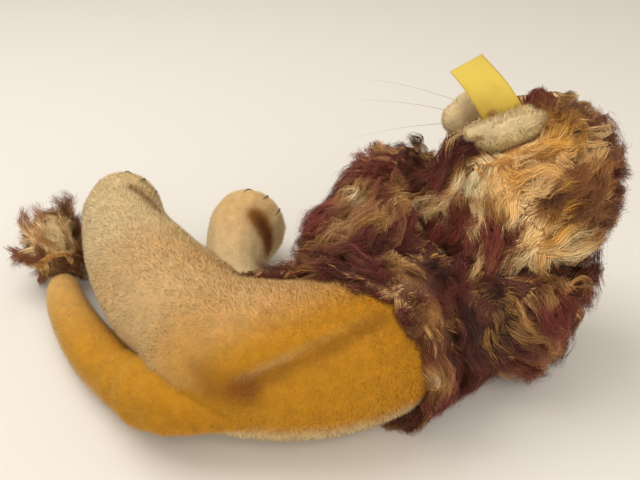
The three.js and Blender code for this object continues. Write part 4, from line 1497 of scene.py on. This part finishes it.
# %% Eyes
EYE_RINGS, EYE_SPOKES = 12, 40
EYE_LIFT, EYE_SINK = 1.0 * MM, 0.2 * MM


def make_eye(node):
    points, middle, ways = main_ways(node)
    out = ways[:, 0] * np.sign(ways[:, 0] @ (middle - HEAD_MIDDLE))
    depth = (points - middle) @ out
    base = middle + out * (depth.min() + EYE_LIFT)
    rise = depth.max() - depth.min()
    across = np.linalg.norm((points - base) - ((points - base) @ out)[:, None] * out, axis=1)
    first, second = ways[:, 1], ways[:, 2]
    rows, shares = [base - out * EYE_SINK], [1.0]
    for ring in range(EYE_RINGS + 1):
        turn = math.pi / 2 * ring / EYE_RINGS
        for spoke in range(EYE_SPOKES if ring < EYE_RINGS else 1):
            angle = 2 * math.pi * spoke / EYE_SPOKES
            side = first * math.cos(angle) + second * math.sin(angle)
            rows.append(base + side * across.max() * math.cos(turn) + out * rise * math.sin(turn))
            shares.append(math.cos(turn))
    top = len(rows) - 1
    faces = []
    for spoke in range(EYE_SPOKES):
        after = (spoke + 1) % EYE_SPOKES
        faces.append((0, 1 + after, 1 + spoke))
        for ring in range(EYE_RINGS - 1):
            low, high = 1 + ring * EYE_SPOKES, 1 + (ring + 1) * EYE_SPOKES
            faces.append((low + spoke, low + after, high + after, high + spoke))
        last = 1 + (EYE_RINGS - 1) * EYE_SPOKES
        faces.append((last + spoke, last + after, top))
    mesh = bpy.data.meshes.new(f"{node}_dome")
    mesh.from_pydata([tuple(row) for row in rows], [], faces)
    paint(mesh, across=np.array(shares))
    mesh.shade_smooth()
    work = bmesh.new()
    work.from_mesh(mesh)
    bmesh.ops.recalc_face_normals(work, faces=work.faces)
    work.to_mesh(mesh)
    work.free()
    return link(f"{node}_dome", mesh, eye_glass_finish)


eyes = {name: make_eye(name) for name in ("eye_left", "eye_right")}
print("eyes:", len(eyes))

# %% [markdown]
# The claws are single stitches of dark thread, pulled tight over the toes, so each lies along the skin of
# its paw. A solid in the middle of the stitch's place shows where, and the thread is laid a little further
# back.

# %% Claws
CLAW_RADIUS = 0.4 * MM
CLAW_POINTS = 9
CLAW_SHARE = 0.75
CLAW_BACK = 11 * MM
CLAW_UP = 4 * MM
CLAW_RISE = PILE_LENGTH * 0.75
paw_trees = {limb: tree_of(skins[limb]) for limb in skins if "leg" in limb}
paw_trees["hind_leg_left"] = tree_of(skins["body_skin"])


def make_claw(node):
    points, middle, ways = main_ways(node)
    reach = (points - middle) @ ways[:, 2]
    limb = node.rsplit("_claw", 1)[0]
    back = unit(middle_of(f"{limb}_cover") - middle)
    middle = middle + back * CLAW_BACK + np.array([0, 0, CLAW_UP])
    rows = []
    for i in range(CLAW_POINTS):
        share = (i / (CLAW_POINTS - 1) - 0.5) * CLAW_SHARE + 0.5
        place = middle + ways[:, 2] * (reach.min() + (reach.max() - reach.min()) * share)
        found, normal, _, _ = paw_trees[limb].find_nearest(Vector(place))
        height = CLAW_RISE * math.sin(math.pi * i / (CLAW_POINTS - 1))
        rows.append((found + normal * height, 1))
    return make_thread(f"{node}_thread", rows, CLAW_RADIUS, 2, claw_thread)


claws = {name: make_claw(name) for name in nodes if "_claw" in name}
print("claws:", len(claws))

# %% Finishes of the solids that stay
finishes = {
    "stuffing": filling,
    "claw": claw_thread,
    "whisker": whisker_thread,
    "nose_stitching": nose_thread,
    "mouth_stitching": claw_thread,
    "disc": board,
    "washer": steel,
    "neck_pin": steel,
    "wire": steel,
    "eye_": claw_thread,
}
for name, node in nodes.items():
    for word, material in finishes.items():
        if word in name:
            node.data.materials.clear()
            node.data.materials.append(material)
            break
print("finishes for the solids that stay:", len(finishes))

# %% [markdown]
# ## What stands for what
#
# Every new piece rides on the body that its solid belongs to, and hides the solids it stands for.

# %% Ride and replace
replaced = {
    "body_skin": ("torso_cover", "hind_leg_left_cover"),
    "hind_leg_right": ("hind_leg_right_cover",),
    "tail": ("tail_cover",),
    "front_leg_left": ("front_leg_left_cover",),
    "front_leg_right": ("front_leg_right_cover",),
    "head": ("head_cover",),
}
stands_for = {"shoulders": "mane_shoulders", "head": "mane_head", "tuft": "tail_tuft"}


def wear(body, slot, *pieces):
    """Lets pieces ride on a body. Its slot is not used."""
    for piece in pieces:
        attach(piece, body)


for name, skin in skins.items():
    wear("head" if name == "head" else "body",
         "cream_pile" if name in ("head", "hind_leg_right") else "golden_pile", skin)
    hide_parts(*replaced[name])
wear("body", "golden_pile", *body_pieces)
wear("head", "cream_pile", *head_pieces)
for name, piece in backings.items():
    wear("head" if name == "head" else "body", "mane_pile", piece)
    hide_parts(stands_for[name])
wear("head", "mane_pile", *locks_head)
wear("body", "mane_pile", *locks_shoulders, *locks_tuft)
for node, skin, hairs in ear_pieces:
    wear("head", "golden_pile" if node.endswith("back") else "cream_pile", skin, *hairs)
    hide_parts(node)
for pieces, body, slot in (
    (whiskers, "head", "whisker_thread"),
    (eyes, "head", "eye_glass"),
    (claws, "body", "claw_thread"),
):
    for node, piece in pieces.items():
        wear(body, slot, piece)
        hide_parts(node)
wear("head", "label_cloth", label)
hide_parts("ear_label")

# %% [markdown]
# ## Floor and light
#
# A pale floor and large soft lamps, as in a small studio. The lamps are set so that a white card would
# come out just white, and the shade under the toy stays soft.

# %% Floor
FLOOR_HALF = 3.0
FLOOR_PALE = linear("#e7dfd2")
SQUARE = ((-1, -1), (1, -1), (1, 1), (-1, 1))

floor_mesh = bpy.data.meshes.new("floor")
corners = [(x * FLOOR_HALF, y * FLOOR_HALF, 0) for x, y in SQUARE]
floor_mesh.from_pydata(corners, [], [(0, 1, 2, 3)])
floor = link("floor", floor_mesh, Web("pale_floor", Roughness=0.9, Base_Color=FLOOR_PALE).finish())

# %% Light
WORLD_STRENGTH = 0.6
WORLD_COLOUR = (1.0, 0.98, 0.95, 1.0)
LAMP_TARGET = (0, 0, 0.03)
world = bpy.data.worlds.new("studio")
bpy.context.scene.world = world
world.use_nodes = True
sky = world.node_tree.nodes["Background"]
sky.inputs["Color"].default_value = WORLD_COLOUR
sky.inputs["Strength"].default_value = WORLD_STRENGTH


def soft_lamp(name, place, size, power):
    data = bpy.data.lights.new(name, "AREA")
    data.size = size
    data.energy = power
    lamp = bpy.data.objects.new(name, data)
    lamp.location = place
    lamp.rotation_euler = (Vector(LAMP_TARGET) - Vector(place)).to_track_quat("-Z", "Y").to_euler()
    bpy.context.scene.collection.objects.link(lamp)
    print(name, "lamp, watts:", power)


soft_lamp("key", (-0.45, 0.15, 1.0), size=0.9, power=6.5)
soft_lamp("fill", (0.25, -1.0, 0.65), size=1.0, power=6.5)
bpy.context.scene.view_settings.view_transform = "Standard"
